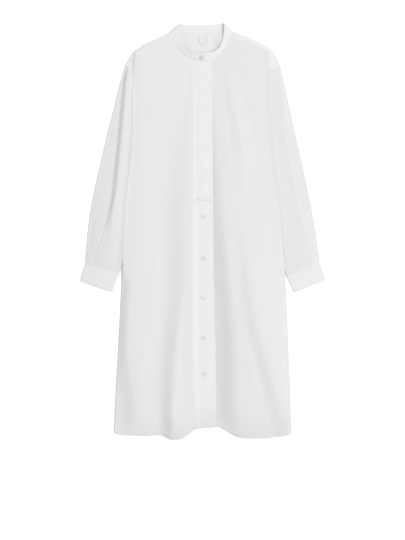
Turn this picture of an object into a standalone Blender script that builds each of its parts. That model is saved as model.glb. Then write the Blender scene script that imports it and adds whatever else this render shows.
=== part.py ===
"""A white shirt dress with a band collar, laid flat on its back.

Metres, +Z up. The dress lies on the plane Z = 0, its collar towards +Y, and left is -X.
Every panel is a wall of cloth. The layers lie on each other from the back panel up:
back and yoke, sleeves beside them, the under front, the over front, the placket, the buttons.
The fronts are height fields: a level, a fall to the side folds, the long soft ridges, and a
climb to the placket, which stands above the under front beside it.
"""

from collections import namedtuple
from math import cos, pi, sin

import bmesh
import bpy
from mathutils import Matrix, Vector

MM = 0.001

# Driving dimensions
CLOTH = 1.2 * MM  # thickness of one layer of the dress cloth
FIRM = 1.6 * MM  # cuffs and collar band, which are double and stiffened
GAP = 0.3 * MM  # space left between two pieces at a seam
PITCH = CLOTH + GAP  # from one layer to the next one lying on it
ROLL = 1.2 * MM  # radius of the middle of the cloth where a panel folds under
CUFF_ROLL = 1.5 * MM
FLOOR_LEVEL = CLOTH / 2  # the middle of a layer that lies on the ground
OVER_LEVEL = 8.5 * MM  # the middle of the over front where it has no ridge
UNDER_LEVEL = OVER_LEVEL - PITCH
UNDER_STEP = 38 * MM  # right of here the under front comes up to the over front's level
UNDER_STEP_WIDTH = 40 * MM
LEFT_FALL = 40 * MM  # widths over which the skirt falls to its side folds
RIGHT_FALL = 16 * MM
HEM_FALL = 70 * MM  # height over which the skirt sinks towards its hem
HEM_REST = 0.4  # what is left of its height there
CUFF_LINE = -112 * MM  # below here nothing lies under the sides of the body
CUFF_FADE = 36 * MM
SHOULDER_TOP = 467 * MM
HEM_LINE = -556 * MM
CLIMB_LATE = 1.4  # above 1 the climb to the placket starts slowly
CUFF_CROWN = 1.2 * MM  # how far a cuff's middle rises
BACK_NECK = 541 * MM
BACK_HEM_INSET = 3 * MM
PLACKET_FOOT = -537 * MM
BUTTON_WIDTH = 11 * MM
BUTTON_HEIGHT = 2.4 * MM
BUTTON_LIFT = 0.9 * MM  # the thread holds a button this far off the cloth
HOLE_RING = 1.6 * MM  # from the middle of a button to the middle of a hole
HOLE_RADIUS = 0.7 * MM
LOOP_HALF_WIDTH = 10 * MM
LOOP_TAPE = 4.5 * MM
LOOP_TOP = 536 * MM
LOOP_TURN = 522 * MM

# The outline of the body: its two side folds, from the shoulder notch to the hem
Side = namedtuple("Side", "y left right")
SIDES = (
    Side(467, -191, 180.5),
    Side(396, -194, 180.5),
    Side(305, -194, 184),
    Side(236, -196, 191),
    Side(167, -203, 198),
    Side(52, -214, 211.5),
    Side(-25, -218.5, 217),
    Side(-113, -220.5, 224),
    Side(-218, -225, 229.5),
    Side(-395, -234.5, 236.5),
    Side(-465, -238, 239),
    Side(-556, -243, 242.5),
)

# The placket: its stitched line and its free edge
Strip = namedtuple("Strip", "y stitched free")
PLACKET = (
    Strip(467, -28.5, 25),
    Strip(150, -26, 27),
    Strip(-190, -25, 30),
    Strip(-330, -24.5, 34),
    Strip(-537, -18.5, 36.5),
)

# Top edge of the fronts: the shoulder seam, then the neckline, for each side
Edge = namedtuple("Edge", "x y")
OVER_TOP = (
    Edge(-191, 466),
    Edge(-184.5, 479),
    Edge(-162, 491),
    Edge(-134, 504),
    Edge(-105, 517),
    Edge(-86, 526),
    Edge(-80, 522),
    Edge(-73, 512),
    Edge(-61, 496),
    Edge(-46, 482),
    Edge(-28.5, 473),
    Edge(-10.7, 469),
    Edge(7.2, 467.5),
    Edge(25, 467),
)
UNDER_TOP = OVER_TOP[-4:] + (
    Edge(38, 479),
    Edge(51, 490.5),
    Edge(62, 505),
    Edge(66.5, 518),
    Edge(69, 529),
    Edge(79, 530.5),
    Edge(104, 522),
    Edge(131, 511),
    Edge(157, 500),
    Edge(177.5, 491),
    Edge(180.5, 482),
)

# The hem, as it lies
HEM = (
    Edge(-245, -555.5),
    Edge(-228, -559.5),
    Edge(-190, -560.5),
    Edge(-105, -561),
    Edge(-84, -570.5),
    Edge(-69, -570.7),
    Edge(-55, -567),
    Edge(-29, -547),
    Edge(-18, -540.5),
    Edge(36, -537),
    Edge(60, -545),
    Edge(82, -557),
    Edge(106, -565.5),
    Edge(129, -567.5),
    Edge(198, -564),
    Edge(243, -556),
)

# The long ridges of the fronts. Each row of a ridge is a place along its crest,
# with the width of its rise on the left, of its fall on the right, and its height.
Crest = namedtuple("Crest", "y x rise fall height")
OVER_RIDGES = {
    "along the left side": (
        Crest(470, -168, 24, 100, 1),
        Crest(300, -168, 24, 120, 1.5),
        Crest(40, -176, 40, 140, 2),
        Crest(-60, -176, 60, 170, 4),
        Crest(-160, -176, 90, 190, 7),
        Crest(-300, -176, 110, 200, 9.5),
        Crest(-420, -168, 100, 200, 10.5),
        Crest(-500, -166, 90, 200, 11.5),
        Crest(-575, -160, 92, 200, 12),
    ),
}
UNDER_RIDGES = {
    "right of the placket": (
        Crest(400, 44, 26, 60, 0),
        Crest(305, 44, 28, 90, 2),
        Crest(195, 50, 32, 150, 4.4),
        Crest(85, 56, 36, 180, 6),
        Crest(-25, 66, 44, 210, 8),
        Crest(-135, 82, 56, 230, 10.5),
        Crest(-245, 94, 62, 240, 12.5),
        Crest(-355, 102, 68, 250, 14),
        Crest(-465, 104, 69, 250, 14.5),
        Crest(-575, 108, 72, 250, 15),
    ),
    "across the right hem": (
        Crest(60, 112, 30, 80, 0),
        Crest(-25, 120, 32, 80, 2),
        Crest(-135, 134, 38, 90, 4.5),
        Crest(-245, 150, 42, 90, 6.5),
        Crest(-355, 182, 44, 90, 8),
        Crest(-465, 212, 48, 90, 9.5),
        Crest(-575, 246, 60, 90, 9),
    ),
    "from the right collar": (
        Crest(440, 78, 24, 50, 0),
        Crest(300, 96, 30, 60, 2),
        Crest(150, 116, 34, 70, 1.6),
        Crest(20, 130, 34, 70, 0),
    ),
}
# Left of the placket the over front climbs once, over this width and up to this line,
# and stays at that height as far as the placket's free edge.
Climb = namedtuple("Climb", "y x width height")
CLIMB = (
    Climb(420, -30, 60, 0),
    Climb(305, -34, 74, 2),
    Climb(195, -38, 80, 6.5),
    Climb(85, -47, 76, 9.5),
    Climb(-25, -48, 72, 12),
    Climb(-135, -46, 74, 14.5),
    Climb(-245, -57, 76, 17),
    Climb(-355, -67, 70, 18.5),
    Climb(-465, -76, 62, 18.5),
    Climb(-575, -78, 58, 18),
)

# The sleeves: outer and inner edge of each section, from the armhole seam to the cuff
Section = namedtuple("Section", "outer_x outer_y inner_x inner_y")
SLEEVES = {
    "left": (
        Section(-215.0, 451, -163, 427),
        Section(-231.0, 393, -165, 371),
        Section(-246.0, 332, -164, 311),
        Section(-264.0, 261, -167, 239),
        Section(-279.0, 195, -176, 172),
        Section(-294.5, 129, -185, 105),
        Section(-307.5, 63, -197, 39),
        Section(-316.5, -3, -209, -28),
        Section(-321.5, -53, -217.5, -76),
        Section(-323.8, -90.9, -227.6, -111.5),
    ),
    "right": (
        Section(213.0, 452.5, 151, 425),
        Section(226.5, 393, 151, 369),
        Section(240.5, 327, 153, 303),
        Section(255.0, 261, 162, 237),
        Section(270.5, 195, 171, 168),
        Section(284.5, 129, 182, 101),
        Section(298.0, 63, 194, 33),
        Section(309.5, -3, 207.5, -37),
        Section(317.0, -53, 218.5, -88),
        Section(320.8, -86.2, 229.8, -125.0),
    ),
}
SLEEVE_RIDGES = {
    "left": (
        Crest(470, -206, 9, 60, 3),
        Crest(430, -208, 12, 60, 5),
        Crest(360, -213, 14, 60, 7),
        Crest(277, -221, 14, 60, 7.5),
        Crest(195, -230, 14, 60, 7.5),
        Crest(112, -237, 15, 60, 7),
        Crest(30, -248, 17, 60, 5),
        Crest(-53, -258, 26, 60, 3),
        Crest(-110, -268, 30, 60, 2),
    ),
    "right": (
        Crest(470, 206, 30, 9, 2),
        Crest(420, 212, 30, 9, 4),
        Crest(360, 216, 32, 9, 5),
        Crest(258, 224, 34, 9, 5.5),
        Crest(167, 240, 36, 9, 5.5),
        Crest(63, 263, 38, 9, 5),
        Crest(-20, 285, 40, 8, 4),
        Crest(-110, 298, 40, 8, 2.5),
    ),
}
SLEEVE_FULLNESS = {"left": 3.5 * MM, "right": 2.0 * MM}  # how full each lies above its cuff
FULL_FROM = 200 * MM  # the fullness begins here and is whole at FULL_FROM - FULL_OVER
FULL_OVER = 200 * MM
BODY_FADE = 8 * MM  # a sleeve's upper layer is flat where the body lies on it
FOLD_FADE = 14 * MM  # and near its outer fold
ARMHOLE_LINE = 450 * MM
ARMHOLE_FADE = 40 * MM
WRIST_LINE = -128 * MM
WRIST_FADE = 50 * MM

# The cuffs: the four corners of each
Cuff = namedtuple("Cuff", "seam_outer seam_inner foot_inner foot_outer")
CUFFS = {
    "left": Cuff((-323.9, -91.2), (-227.7, -111.8), (-249.8, -168), (-337.6, -137.5)),
    "right": Cuff((320.9, -86.5), (229.9, -125.3), (250.5, -170), (337.6, -133.5)),
}

# The yoke: where each line across it starts at its lower seam, folds over the shoulder
# and ends at the front seam, and the level of its upper layer there
Line = namedtuple("Line", "seam_x seam_y fold_x fold_y front_x front_y level")
NECK_LEVEL = OVER_LEVEL / MM
YOKE_SHOULDERS = {
    "left": (
        Line(-209, 449, -214.3, 453.5, -208, 448.6, 3.2),
        Line(-196, 443.2, -209.5, 463, -197, 443.6, 3.2),
        Line(-180, 436, -203.5, 473, -190, 457, 3.4),
        Line(-163, 428.3, -196.5, 482.5, -187, 476.5, 5.0),
        Line(-150, 428.3, -187, 493.5, -184.5, 479.5, NECK_LEVEL),
        Line(-135, 428.3, -163, 510, -162, 491.5, NECK_LEVEL),
        Line(-115, 428.3, -134, 523.5, -134, 504.5, NECK_LEVEL),
        Line(-95, 428.3, -106, 537, -105, 517.5, NECK_LEVEL),
        Line(-80, 428.3, -93, 542, -87.5, 526, NECK_LEVEL),
    ),
    "right": (
        Line(207, 451.2, 212.3, 455, 206, 449.6, 3.2),
        Line(190, 443.6, 208.5, 464.5, 192, 445.2, 3.2),
        Line(172, 435.7, 203.5, 474.5, 185, 464, 3.4),
        Line(154, 428.3, 197, 487, 184, 486.5, 5.0),
        Line(142, 428.3, 187, 499.5, 177.5, 491.5, NECK_LEVEL),
        Line(128, 428.3, 163, 512.5, 157, 500.5, NECK_LEVEL),
        Line(108, 428.3, 134, 526, 131, 511.5, NECK_LEVEL),
        Line(88, 428.3, 105, 538, 104, 522.5, NECK_LEVEL),
        Line(72, 428.3, 83, 547, 79.5, 531, NECK_LEVEL),
    ),
}

# The collar band, from the lapped over end round the back to the under end.
# Each row gives the point of the neckline it is sewn to and its top edge above that.
Band = namedtuple("Band", "seam_x seam_y seam_z top_x top_y top_z")
COLLAR = (
    Band(25, 467, 10.2, 27.0, 490, 16),
    Band(7.2, 467.5, 10.2, 8, 487.6, 17),
    Band(-10.7, 469, 9.8, -10, 487.4, 17),
    Band(-28.5, 473, 9.2, -25, 490, 16.5),
    Band(-46, 482, 8.8, -38, 498, 15.5),
    Band(-61, 496, 8.6, -47, 511.5, 14),
    Band(-73, 512, 8.5, -52.5, 529, 12),
    Band(-80, 522, 8.5, -55.5, 541, 10.5),
    Band(-86, 534, 8.2, -59, 555, 9),
    Band(-90.5, 541, 7.0, -61, 565, 7.2),
    Band(-92, 543.5, 4.8, -62, 568, 4.8),
    Band(-88, 542, 2.8, -58, 568, 2.8),
    Band(-70, 541, 1.8, -47, 566, 1.8),
    Band(-36, 541, 1.2, -27, 565, 1.4),
    Band(-5, 541, 1.1, -5, 565, 1.4),
    Band(26, 541, 1.2, 22, 566, 1.4),
    Band(60, 541.5, 1.8, 42, 568.5, 1.8),
    Band(77, 545, 2.8, 53, 570, 2.8),
    Band(80, 549, 4.8, 57, 570, 4.8),
    Band(79.5, 545, 7.0, 56.5, 568, 7.6),
    Band(76, 538, 8.2, 55, 556, 10),
    Band(69, 529, 8.5, 53.5, 538, 11.5),
    Band(66.5, 518, 8.5, 51, 522, 12.5),
    Band(62, 505, 8.4, 46.5, 508.5, 13.5),
    Band(51, 490.5, 8.0, 38.5, 497, 14),
    Band(38, 479, 7.2, 28, 491.5, 13.6),
    Band(26, 471, 6.8, 19.5, 488.5, 13.2),
    Band(7.2, 467.5, 6.2, 8, 487.6, 13.0),
    Band(-10.7, 469, 6.0, -10, 487.4, 12.8),
)

BUTTONS = (Edge(1.8, 39), Edge(2.6, -74.5), Edge(2.4, -183), Edge(3.2, -292), Edge(4.6, -392))
# The collar's button: its place on the over end of the band, and the way it faces
COLLAR_BUTTON = (-2.6, 475.2, 12.4)
COLLAR_LEAN = (0, -7, 19)
# A button's profile from the middle of its back to the middle of its face, as shares of
# its radius and of its height
BUTTON_PROFILE = ((0, 0), (0.8, 0), (1, 0.35), (1, 0.75), (0.93, 1), (0.8, 1), (0.66, 0.72), (0, 0.66))


def clear_scene():
    for thing in list(bpy.data.objects):
        bpy.data.objects.remove(thing, do_unlink=True)


def material(name, colour, roughness):
    finish = bpy.data.materials.new(name)
    finish.use_nodes = True
    shader = finish.node_tree.nodes["Principled BSDF"]
    shader.inputs["Base Color"].default_value = (*colour, 1.0)
    shader.inputs["Roughness"].default_value = roughness
    shader.inputs["Metallic"].default_value = 0.0
    finish.diffuse_color = (*colour, 1.0)
    return finish


def ease(t):
    """0 before 0, 1 after 1, and a smooth step between."""
    t = min(max(t, 0.0), 1.0)
    return t * t * (3 - 2 * t)


def read(table, key, at, column):
    """A column of a table in millimetres, between its rows, at a place in metres."""
    at = at / MM
    rows = sorted(table, key=lambda row: getattr(row, key))
    if at <= getattr(rows[0], key):
        return getattr(rows[0], column) * MM
    for low, high in zip(rows, rows[1:]):
        start, end = getattr(low, key), getattr(high, key)
        if at <= end:
            part = (at - start) / (end - start)
            return ((1 - part) * getattr(low, column) + part * getattr(high, column)) * MM
    return getattr(rows[-1], column) * MM


def ridge_height(crests, x, y):
    """Height of one ridge over the point x, y: a raised cosine across its crest."""
    crest = read(crests, "y", y, "x")
    side = "rise" if x < crest else "fall"
    away = abs(x - crest) / read(crests, "y", y, side)
    if away >= 1:
        return 0.0
    return read(crests, "y", y, "height") * (1 + cos(pi * away)) / 2


def climb_height(x, y):
    """Height of the climb to the placket over the point x, y: half a cosine wave, drawn out below."""
    width = read(CLIMB, "y", y, "width")
    part = min(max((x - read(CLIMB, "y", y, "x")) / width + 1, 0), 1)
    return read(CLIMB, "y", y, "height") * (1 - cos(pi * part**CLIMB_LATE)) / 2


def fallen(t):
    """0 before 0, 1 after 1, and half a parabola between, which is steepest at 0."""
    t = min(max(t, 0.0), 1.0)
    return 1 - (1 - t) ** 2


def front_height(x, y, over):
    """The middle of a front's cloth over the point x, y."""
    if over:
        level = OVER_LEVEL + climb_height(x, y)
    else:
        level = UNDER_LEVEL + PITCH * ease((x - UNDER_STEP) / UNDER_STEP_WIDTH)
    ridges = OVER_RIDGES if over else UNDER_RIDGES
    level += sum(ridge_height(crests, x, y) for crests in ridges.values())
    left, right = read(SIDES, "y", y, "left"), read(SIDES, "y", y, "right")
    inside = fallen((x - left) / LEFT_FALL) * fallen((right - x) / RIGHT_FALL)
    fall = (1 - inside) * ease((CUFF_LINE - y) / CUFF_FADE)
    at_edge = FLOOR_LEVEL + 2 * ROLL
    above_hem = y - read(HEM, "x", x, "y")
    standing = HEM_REST + (1 - HEM_REST) * fallen(above_hem / HEM_FALL)
    return at_edge + (level - at_edge) * (1 - fall) * standing


def new_object(name, mesh, finish):
    mesh.materials.append(finish)
    thing = bpy.data.objects.new(name, mesh)
    bpy.context.scene.collection.objects.link(thing)
    return thing


def wall(name, grid, thickness, finish, tube=False):
    """One closed wall of cloth from a grid of (middle point, way out) pairs.

    A tube joins its last column to its first. Every quad is split the same way,
    so that two walls made over the same points stay the same distance apart."""
    shape = bmesh.new()
    sides = []
    for way in (0.5, -0.5):
        sides.append([[shape.verts.new(p + out * thickness * way) for p, out in row] for row in grid])
    top, under = sides
    rows, columns = len(grid), len(grid[0])

    def quad(a, b, c, d):
        shape.faces.new((a, b, c))
        shape.faces.new((a, c, d))

    across = range(columns if tube else columns - 1)
    for i in range(rows - 1):
        for j in across:
            k = (j + 1) % columns
            quad(top[i][j], top[i + 1][j], top[i + 1][k], top[i][k])
            shape.faces.new((under[i][j], under[i + 1][k], under[i + 1][j]))
            shape.faces.new((under[i][j], under[i][k], under[i + 1][k]))
    for j in across:
        k = (j + 1) % columns
        quad(under[0][j], top[0][j], top[0][k], under[0][k])
        quad(under[-1][k], top[-1][k], top[-1][j], under[-1][j])
    if not tube:
        for i in range(rows - 1):
            quad(under[i + 1][0], top[i + 1][0], top[i][0], under[i][0])
            quad(under[i][-1], top[i][-1], top[i + 1][-1], under[i + 1][-1])
    bmesh.ops.recalc_face_normals(shape, faces=shape.faces)
    mesh = bpy.data.meshes.new(name)
    shape.to_mesh(mesh)
    shape.free()
    mesh.shade_smooth()
    mesh.set_sharp_from_angle(angle=pi / 4)
    return new_object(name, mesh, finish)


def sheet(name, patches, thickness, finish):
    """A sheet made of grids that share their edges, thickened by a Solidify modifier."""
    shape = bmesh.new()
    for grid in patches:
        points = [[shape.verts.new(p) for p in row] for row in grid]
        for low, high in zip(points, points[1:]):
            for a, b, c, d in zip(low, low[1:], high[1:], high):
                shape.faces.new((a, b, c))
                shape.faces.new((a, c, d))
    bmesh.ops.remove_doubles(shape, verts=shape.verts, dist=0.01 * MM)
    bmesh.ops.recalc_face_normals(shape, faces=shape.faces)
    mesh = bpy.data.meshes.new(name)
    shape.to_mesh(mesh)
    shape.free()
    mesh.shade_smooth()
    mesh.set_sharp_from_angle(angle=pi / 4)
    thing = new_object(name, mesh, finish)
    thicken = thing.modifiers.new("Cloth thickness", "SOLIDIFY")
    thicken.thickness = thickness
    thicken.offset = 0.0
    thicken.use_even_offset = True
    return thing


def stations(count):
    return [i / (count - 1) for i in range(count)]


UP = Vector((0, 0, 1))
FRONT_ROWS = 30
BAR_ROW = 11  # the row at the foot of the concealed placket
PLACKET_COLUMNS = 4
STRAIGHT_WITHIN = 100  # columns whose top is this far out, in millimetres, run straight
BEND_OVER = 80
# Where the columns of each front meet its top edge and its hem, from left to right.
# Every corner of the top edge has a column of its own.
Column = namedtuple("Column", "top hem")
OVER_COLUMNS = (
    Column(-189.2, -242.8),
    Column(-184.5, -232),
    Column(-173, -214),
    Column(-162, -196),
    Column(-148, -178),
    Column(-134, -160),
    Column(-119, -143),
    Column(-105, -128),
    Column(-86, -116),
    Column(-80, -104),
    Column(-73, -90),
    Column(-61, -77),
    Column(-53, -60),
    Column(-46, -42),
    Column(-37, -30),
)
UNDER_COLUMNS = (
    Column(31, 47),
    Column(38, 59),
    Column(51, 73),
    Column(62, 88),
    Column(66.5, 103),
    Column(69, 118),
    Column(79, 134),
    Column(91, 149),
    Column(104, 164),
    Column(118, 180),
    Column(131, 196),
    Column(144, 211),
    Column(157, 224),
    Column(177.5, 235),
    Column(178.7, 241.2),
)


def placket_x(y, part):
    left, right = read(PLACKET, "y", y, "stitched"), read(PLACKET, "y", y, "free")
    return left + (right - left) * part


def placket_rows(over):
    """Rows of points across the placket, at the same places for every layer of it."""
    rows = []
    for v in stations(FRONT_ROWS):
        row = []
        for part in stations(PLACKET_COLUMNS):
            top = read(OVER_TOP, "x", placket_x(SHOULDER_TOP, part), "y")
            y = top + (PLACKET_FOOT - top) * v
            x = placket_x(y, part)
            row.append((Vector((x, y, front_height(x, y, over))), UP))
        rows.append(row)
    return rows


def side_bend(y, side):
    """How far the side fold lies from a straight line between its two ends."""
    start, end = getattr(SIDES[0], side) * MM, getattr(SIDES[-1], side) * MM
    down = min(max((SHOULDER_TOP - y) / (SHOULDER_TOP - HEM_LINE), 0), 1)
    return read(SIDES, "y", y, side) - (start + (end - start) * down)


def column_points(column, top_table, side):
    """Points down one column of a front, from its top edge to the hem."""
    top_x, hem_x = column.top * MM, column.hem * MM
    top_y = read(top_table, "x", top_x, "y")
    hem_y = read(HEM, "x", hem_x, "y")
    points = []
    for v in stations(FRONT_ROWS):
        y = top_y + (hem_y - top_y) * v
        straight = top_x + (hem_x - top_x) * v
        # The columns near a side fold bend with it, and those near the placket run straight.
        nearness = ease((abs(column.top) - STRAIGHT_WITHIN) / BEND_OVER)
        points.append((straight + side_bend(y, side) * nearness, y))
    return points


def side_roll(edge_point, inward):
    """The half turn of a front's cloth round its side fold, from the top side down."""
    x, y, z = edge_point
    turned = []
    for step in (1, 2, 3, 4):
        angle = step * pi / 4
        out = Vector((-inward * sin(angle), 0, cos(angle)))
        centre = Vector((x, y, z - ROLL))
        turned.append((centre + out * ROLL, out))
    return turned


def front(name, over, finish):
    side = "left" if over else "right"
    columns = OVER_COLUMNS if over else UNDER_COLUMNS
    top_table = OVER_TOP if over else UNDER_TOP
    inward = 1 if over else -1
    lines = [column_points(column, top_table, side) for column in columns]
    middle = placket_rows(over)
    grid = []
    for i in range(FRONT_ROWS):
        panel = [(Vector((line[i][0], line[i][1], front_height(*line[i], over))), UP) for line in lines]
        if over:
            rolled = side_roll(panel[0][0], inward)[::-1]
            grid.append(rolled + panel + middle[i])
        else:
            rolled = side_roll(panel[-1][0], inward)
            grid.append(middle[i] + panel + rolled)
    return wall(name, grid, CLOTH, finish)


def placket(name, rows, layers, finish):
    """A strip that lies on the over front, made from its points moved out."""
    thickness = layers * CLOTH
    lift = UP * (CLOTH / 2 + GAP + thickness / 2)
    grid = [[(point + lift, out) for point, out in row] for row in rows]
    return wall(name, grid, thickness, finish)


def plackets(finish):
    """The concealed strip down to its bar, and from there the button strip down to the hem."""
    rows = placket_rows(True)
    lower = rows[BAR_ROW:]
    lower[0] = [(point.lerp(below, GAP / (point - below).length), out)
                for (point, out), (below, _) in zip(lower[0], lower[1])]
    placket("placket_upper", rows[: BAR_ROW + 1], 1.5, finish)
    placket("placket_lower", lower, 1.0, finish)


def back_edge(y, side):
    """Where the back panel ends: at its seam in the side fold, or beside the sleeve's inner edge."""
    seam = CLOTH / 2 + ROLL + GAP
    fold = abs(read(SIDES, "y", y, side)) - seam
    sleeve_edge = abs(read(SLEEVES[side], "inner_y", y, "inner_x")) - 4 * GAP
    beside_sleeve = y > SLEEVES[side][-1].inner_y * MM
    edge = min(fold, sleeve_edge) if beside_sleeve else fold
    return -edge if side == "left" else edge


# Rows of the back panel, close together where the cuffs end beside it
BACK_ROWS = (428, 396, 350, 305, 239, 172, 105, 63, 20, -28, -60, -88, -112, -126, -218, -300, -395, -470)


def back_panel(finish):
    grid = []
    for y in [row * MM - GAP for row in BACK_ROWS] + [None]:
        at = HEM_LINE if y is None else y
        left, right = back_edge(at, "left"), back_edge(at, "right")
        row = []
        for part in stations(15):
            x = left + (right - left) * part
            # The back hem lies just inside the front one, so it follows the same line.
            row_y = read(HEM, "x", x, "y") + BACK_HEM_INSET if y is None else y
            row.append((Vector((x, row_y, FLOOR_LEVEL)), UP))
        grid.append(row)
    return wall("back_panel", grid, CLOTH, finish)


def yoke(finish):
    """The under layer, and on each shoulder a fold and an upper layer that goes on from it."""
    lower, patches = [], []
    for side in ("left", "right"):
        lines = YOKE_SHOULDERS[side]
        under_rows, over_rows = [], []
        for line in lines:
            seam = Vector((line.seam_x, line.seam_y, 0)) * MM
            fold = Vector((line.fold_x, line.fold_y, 0)) * MM
            end = Vector((line.front_x, line.front_y, 0)) * MM
            radius = (line.level * MM - FLOOR_LEVEL) / 2
            across = (seam - fold).normalized()
            turn = fold + across * (radius + CLOTH / 2)
            under_rows.append([p + UP * FLOOR_LEVEL for p in (seam, seam.lerp(turn, 0.5), turn)])
            rolled = []
            for step in stations(5):
                angle = step * pi
                place = turn - across * radius * sin(angle)
                rolled.append(place + UP * (FLOOR_LEVEL + radius * (1 - cos(angle))))
            level_turn = rolled[-1]
            level_end = end + UP * line.level * MM
            over_rows.append(rolled + [level_turn.lerp(level_end, 0.5), level_end])
        patches.append(over_rows)
        lower.append(under_rows)
    left, right = lower
    neck = []
    for part in stations(6)[1:-1]:
        seam = left[-1][0].lerp(right[-1][0], part)
        top = Vector((left[-1][2].x + (right[-1][2].x - left[-1][2].x) * part, BACK_NECK - 2 * GAP, FLOOR_LEVEL))
        neck.append([seam, seam.lerp(top, 0.5), top])
    patches.append(left + neck + right[::-1])
    return sheet("back_yoke", patches, CLOTH, finish)


def ways_out(points):
    """A grid's points, each with the cloth's normal there, upwards at the first one."""
    rows, columns = len(points), len(points[0])
    grid = []
    for i in range(rows):
        row = []
        for j in range(columns):
            along = points[min(i + 1, rows - 1)][j] - points[max(i - 1, 0)][j]
            across = points[i][min(j + 1, columns - 1)] - points[i][max(j - 1, 0)]
            row.append((points[i][j], across.cross(along).normalized()))
        grid.append(row)
    return grid


def collar(finish):
    points = []
    for row in COLLAR:
        seam = Vector((row.seam_x, row.seam_y, row.seam_z)) * MM
        top = Vector((row.top_x, row.top_y, row.top_z)) * MM
        level_way = Vector((top.x - seam.x, top.y - seam.y, 0)).normalized()
        foot = seam + level_way * (GAP + FIRM / 2)
        points.append([foot.lerp(top, part) for part in stations(4)])
    return wall("collar_band", ways_out(points), FIRM, finish)


def tube_ring(inner, outer, floor, top_height, radius, thickness, columns):
    """A flattened tube's section as (point, way out) pairs, from its inner fold over the top."""
    across = (outer - inner).normalized()
    inset = across * (radius + thickness / 2)
    start, end = inner + inset, outer - inset

    def turn(centre, direction):
        high = top_height(centre)
        folded = []
        for step in (1, 2, 3):
            angle = step * pi / 4
            aside = direction * across * sin(angle)
            middle = centre + UP * ((floor + high) - (high - floor) * cos(angle)) / 2
            folded.append((middle + aside * radius, aside - UP * cos(angle)))
        return folded

    over = [start.lerp(end, part) for part in stations(columns)]
    ring = turn(start, -1) + [(place + UP * top_height(place), UP) for place in over]
    ring += turn(end, 1)[::-1]
    return ring + [(start.lerp(end, part) + UP * floor, -UP) for part in stations(5)[::-1]]


def smooth_rows(table, count):
    """Rows of a table read along a smooth curve through them."""
    rows = []
    last = len(table) - 1
    for part in stations(count):
        place = part * last
        i = min(int(place), last - 1)
        t = place - i
        a, b, c, d = (table[min(max(i + k, 0), last)] for k in (-1, 0, 1, 2))
        rows.append([0.5 * (2 * q + (r - p) * t + (2 * p - 5 * q + 4 * r - s) * t * t
                            + (3 * q - p - 3 * r + s) * t ** 3) for p, q, r, s in zip(a, b, c, d)])
    return [Section(*row) for row in rows]


def sleeve(side, finish):
    flat_top = FLOOR_LEVEL + 2 * ROLL
    crests = SLEEVE_RIDGES[side]
    grid = []
    for row in smooth_rows(SLEEVES[side], 17):
        outer = Vector((row.outer_x, row.outer_y, 0)) * MM
        inner = Vector((row.inner_x, row.inner_y, 0)) * MM
        width = (outer - inner).length

        def top_height(place):
            # The sleeve stays thin at its two folds, where it lies under the body, and at its ends.
            edge = read(SIDES, "y", place.y, side)
            beside_body = ease((abs(place.x) - abs(edge)) / BODY_FADE)
            from_outer = ease((outer - place).length / FOLD_FADE)
            at_ends = ease((ARMHOLE_LINE - place.y) / ARMHOLE_FADE) * ease((place.y - WRIST_LINE) / WRIST_FADE)
            full = SLEEVE_FULLNESS[side] * ease((FULL_FROM - place.y) / FULL_OVER)
            body = ridge_height(crests, place.x, place.y) + full * sin(pi * (place - inner).length / width)
            return flat_top + body * beside_body * from_outer * at_ends

        grid.append(tube_ring(inner, outer, FLOOR_LEVEL, top_height, ROLL, CLOTH, 12))
    return wall("sleeve_" + side, grid, CLOTH, finish, tube=True)


def cuff(side, finish):
    corners = [Vector((x, y, 0)) * MM for x, y in CUFFS[side]]
    seam_outer, seam_inner, foot_inner, foot_outer = corners
    floor = FIRM / 2
    grid = []
    for part in stations(5):
        inner, outer = seam_inner.lerp(foot_inner, part), seam_outer.lerp(foot_outer, part)
        width = (outer - inner).length

        def top_height(place):
            crown = sin(pi * (place - inner).length / width)
            return floor + 2 * CUFF_ROLL + CUFF_CROWN * crown

        grid.append(tube_ring(inner, outer, floor, top_height, CUFF_ROLL, FIRM, 7))
    return wall("cuff_" + side, grid, FIRM, finish, tube=True)


def loop(finish):
    """A tape that comes down from the back neck seam, turns in a half circle and goes back up."""
    level = FLOOR_LEVEL + PITCH
    arc = [k * pi / 8 for k in range(9)]
    path = [(-LOOP_HALF_WIDTH, LOOP_TOP)]
    path += [(-LOOP_HALF_WIDTH * cos(a), LOOP_TURN - LOOP_HALF_WIDTH * sin(a)) for a in arc]
    path += [(LOOP_HALF_WIDTH, LOOP_TOP)]
    grid = []
    for x, y in path:
        towards = Vector((x, min(y - LOOP_TURN, 0), 0)).normalized()
        grid.append([(Vector((x, y, level)) + towards * LOOP_TAPE * side, UP) for side in (-0.5, 0.5)])
    return wall("hanger_loop", grid, CLOTH, finish)


def button_mesh():
    """A turned disc with a rim, a dished face and a rounded back."""
    shape = bmesh.new()
    points = [shape.verts.new((r * BUTTON_WIDTH / 2, 0, z * BUTTON_HEIGHT)) for r, z in BUTTON_PROFILE]
    edges = [shape.edges.new(pair) for pair in zip(points, points[1:])]
    bmesh.ops.spin(shape, geom=points + edges, cent=(0, 0, 0), axis=(0, 0, 1), angle=2 * pi, steps=24)
    bmesh.ops.remove_doubles(shape, verts=shape.verts, dist=0.001 * MM)
    bmesh.ops.recalc_face_normals(shape, faces=shape.faces)
    mesh = bpy.data.meshes.new("Button disc")
    shape.to_mesh(mesh)
    shape.free()
    mesh.shade_smooth()
    mesh.set_sharp_from_angle(angle=pi / 5)
    return mesh


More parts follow.
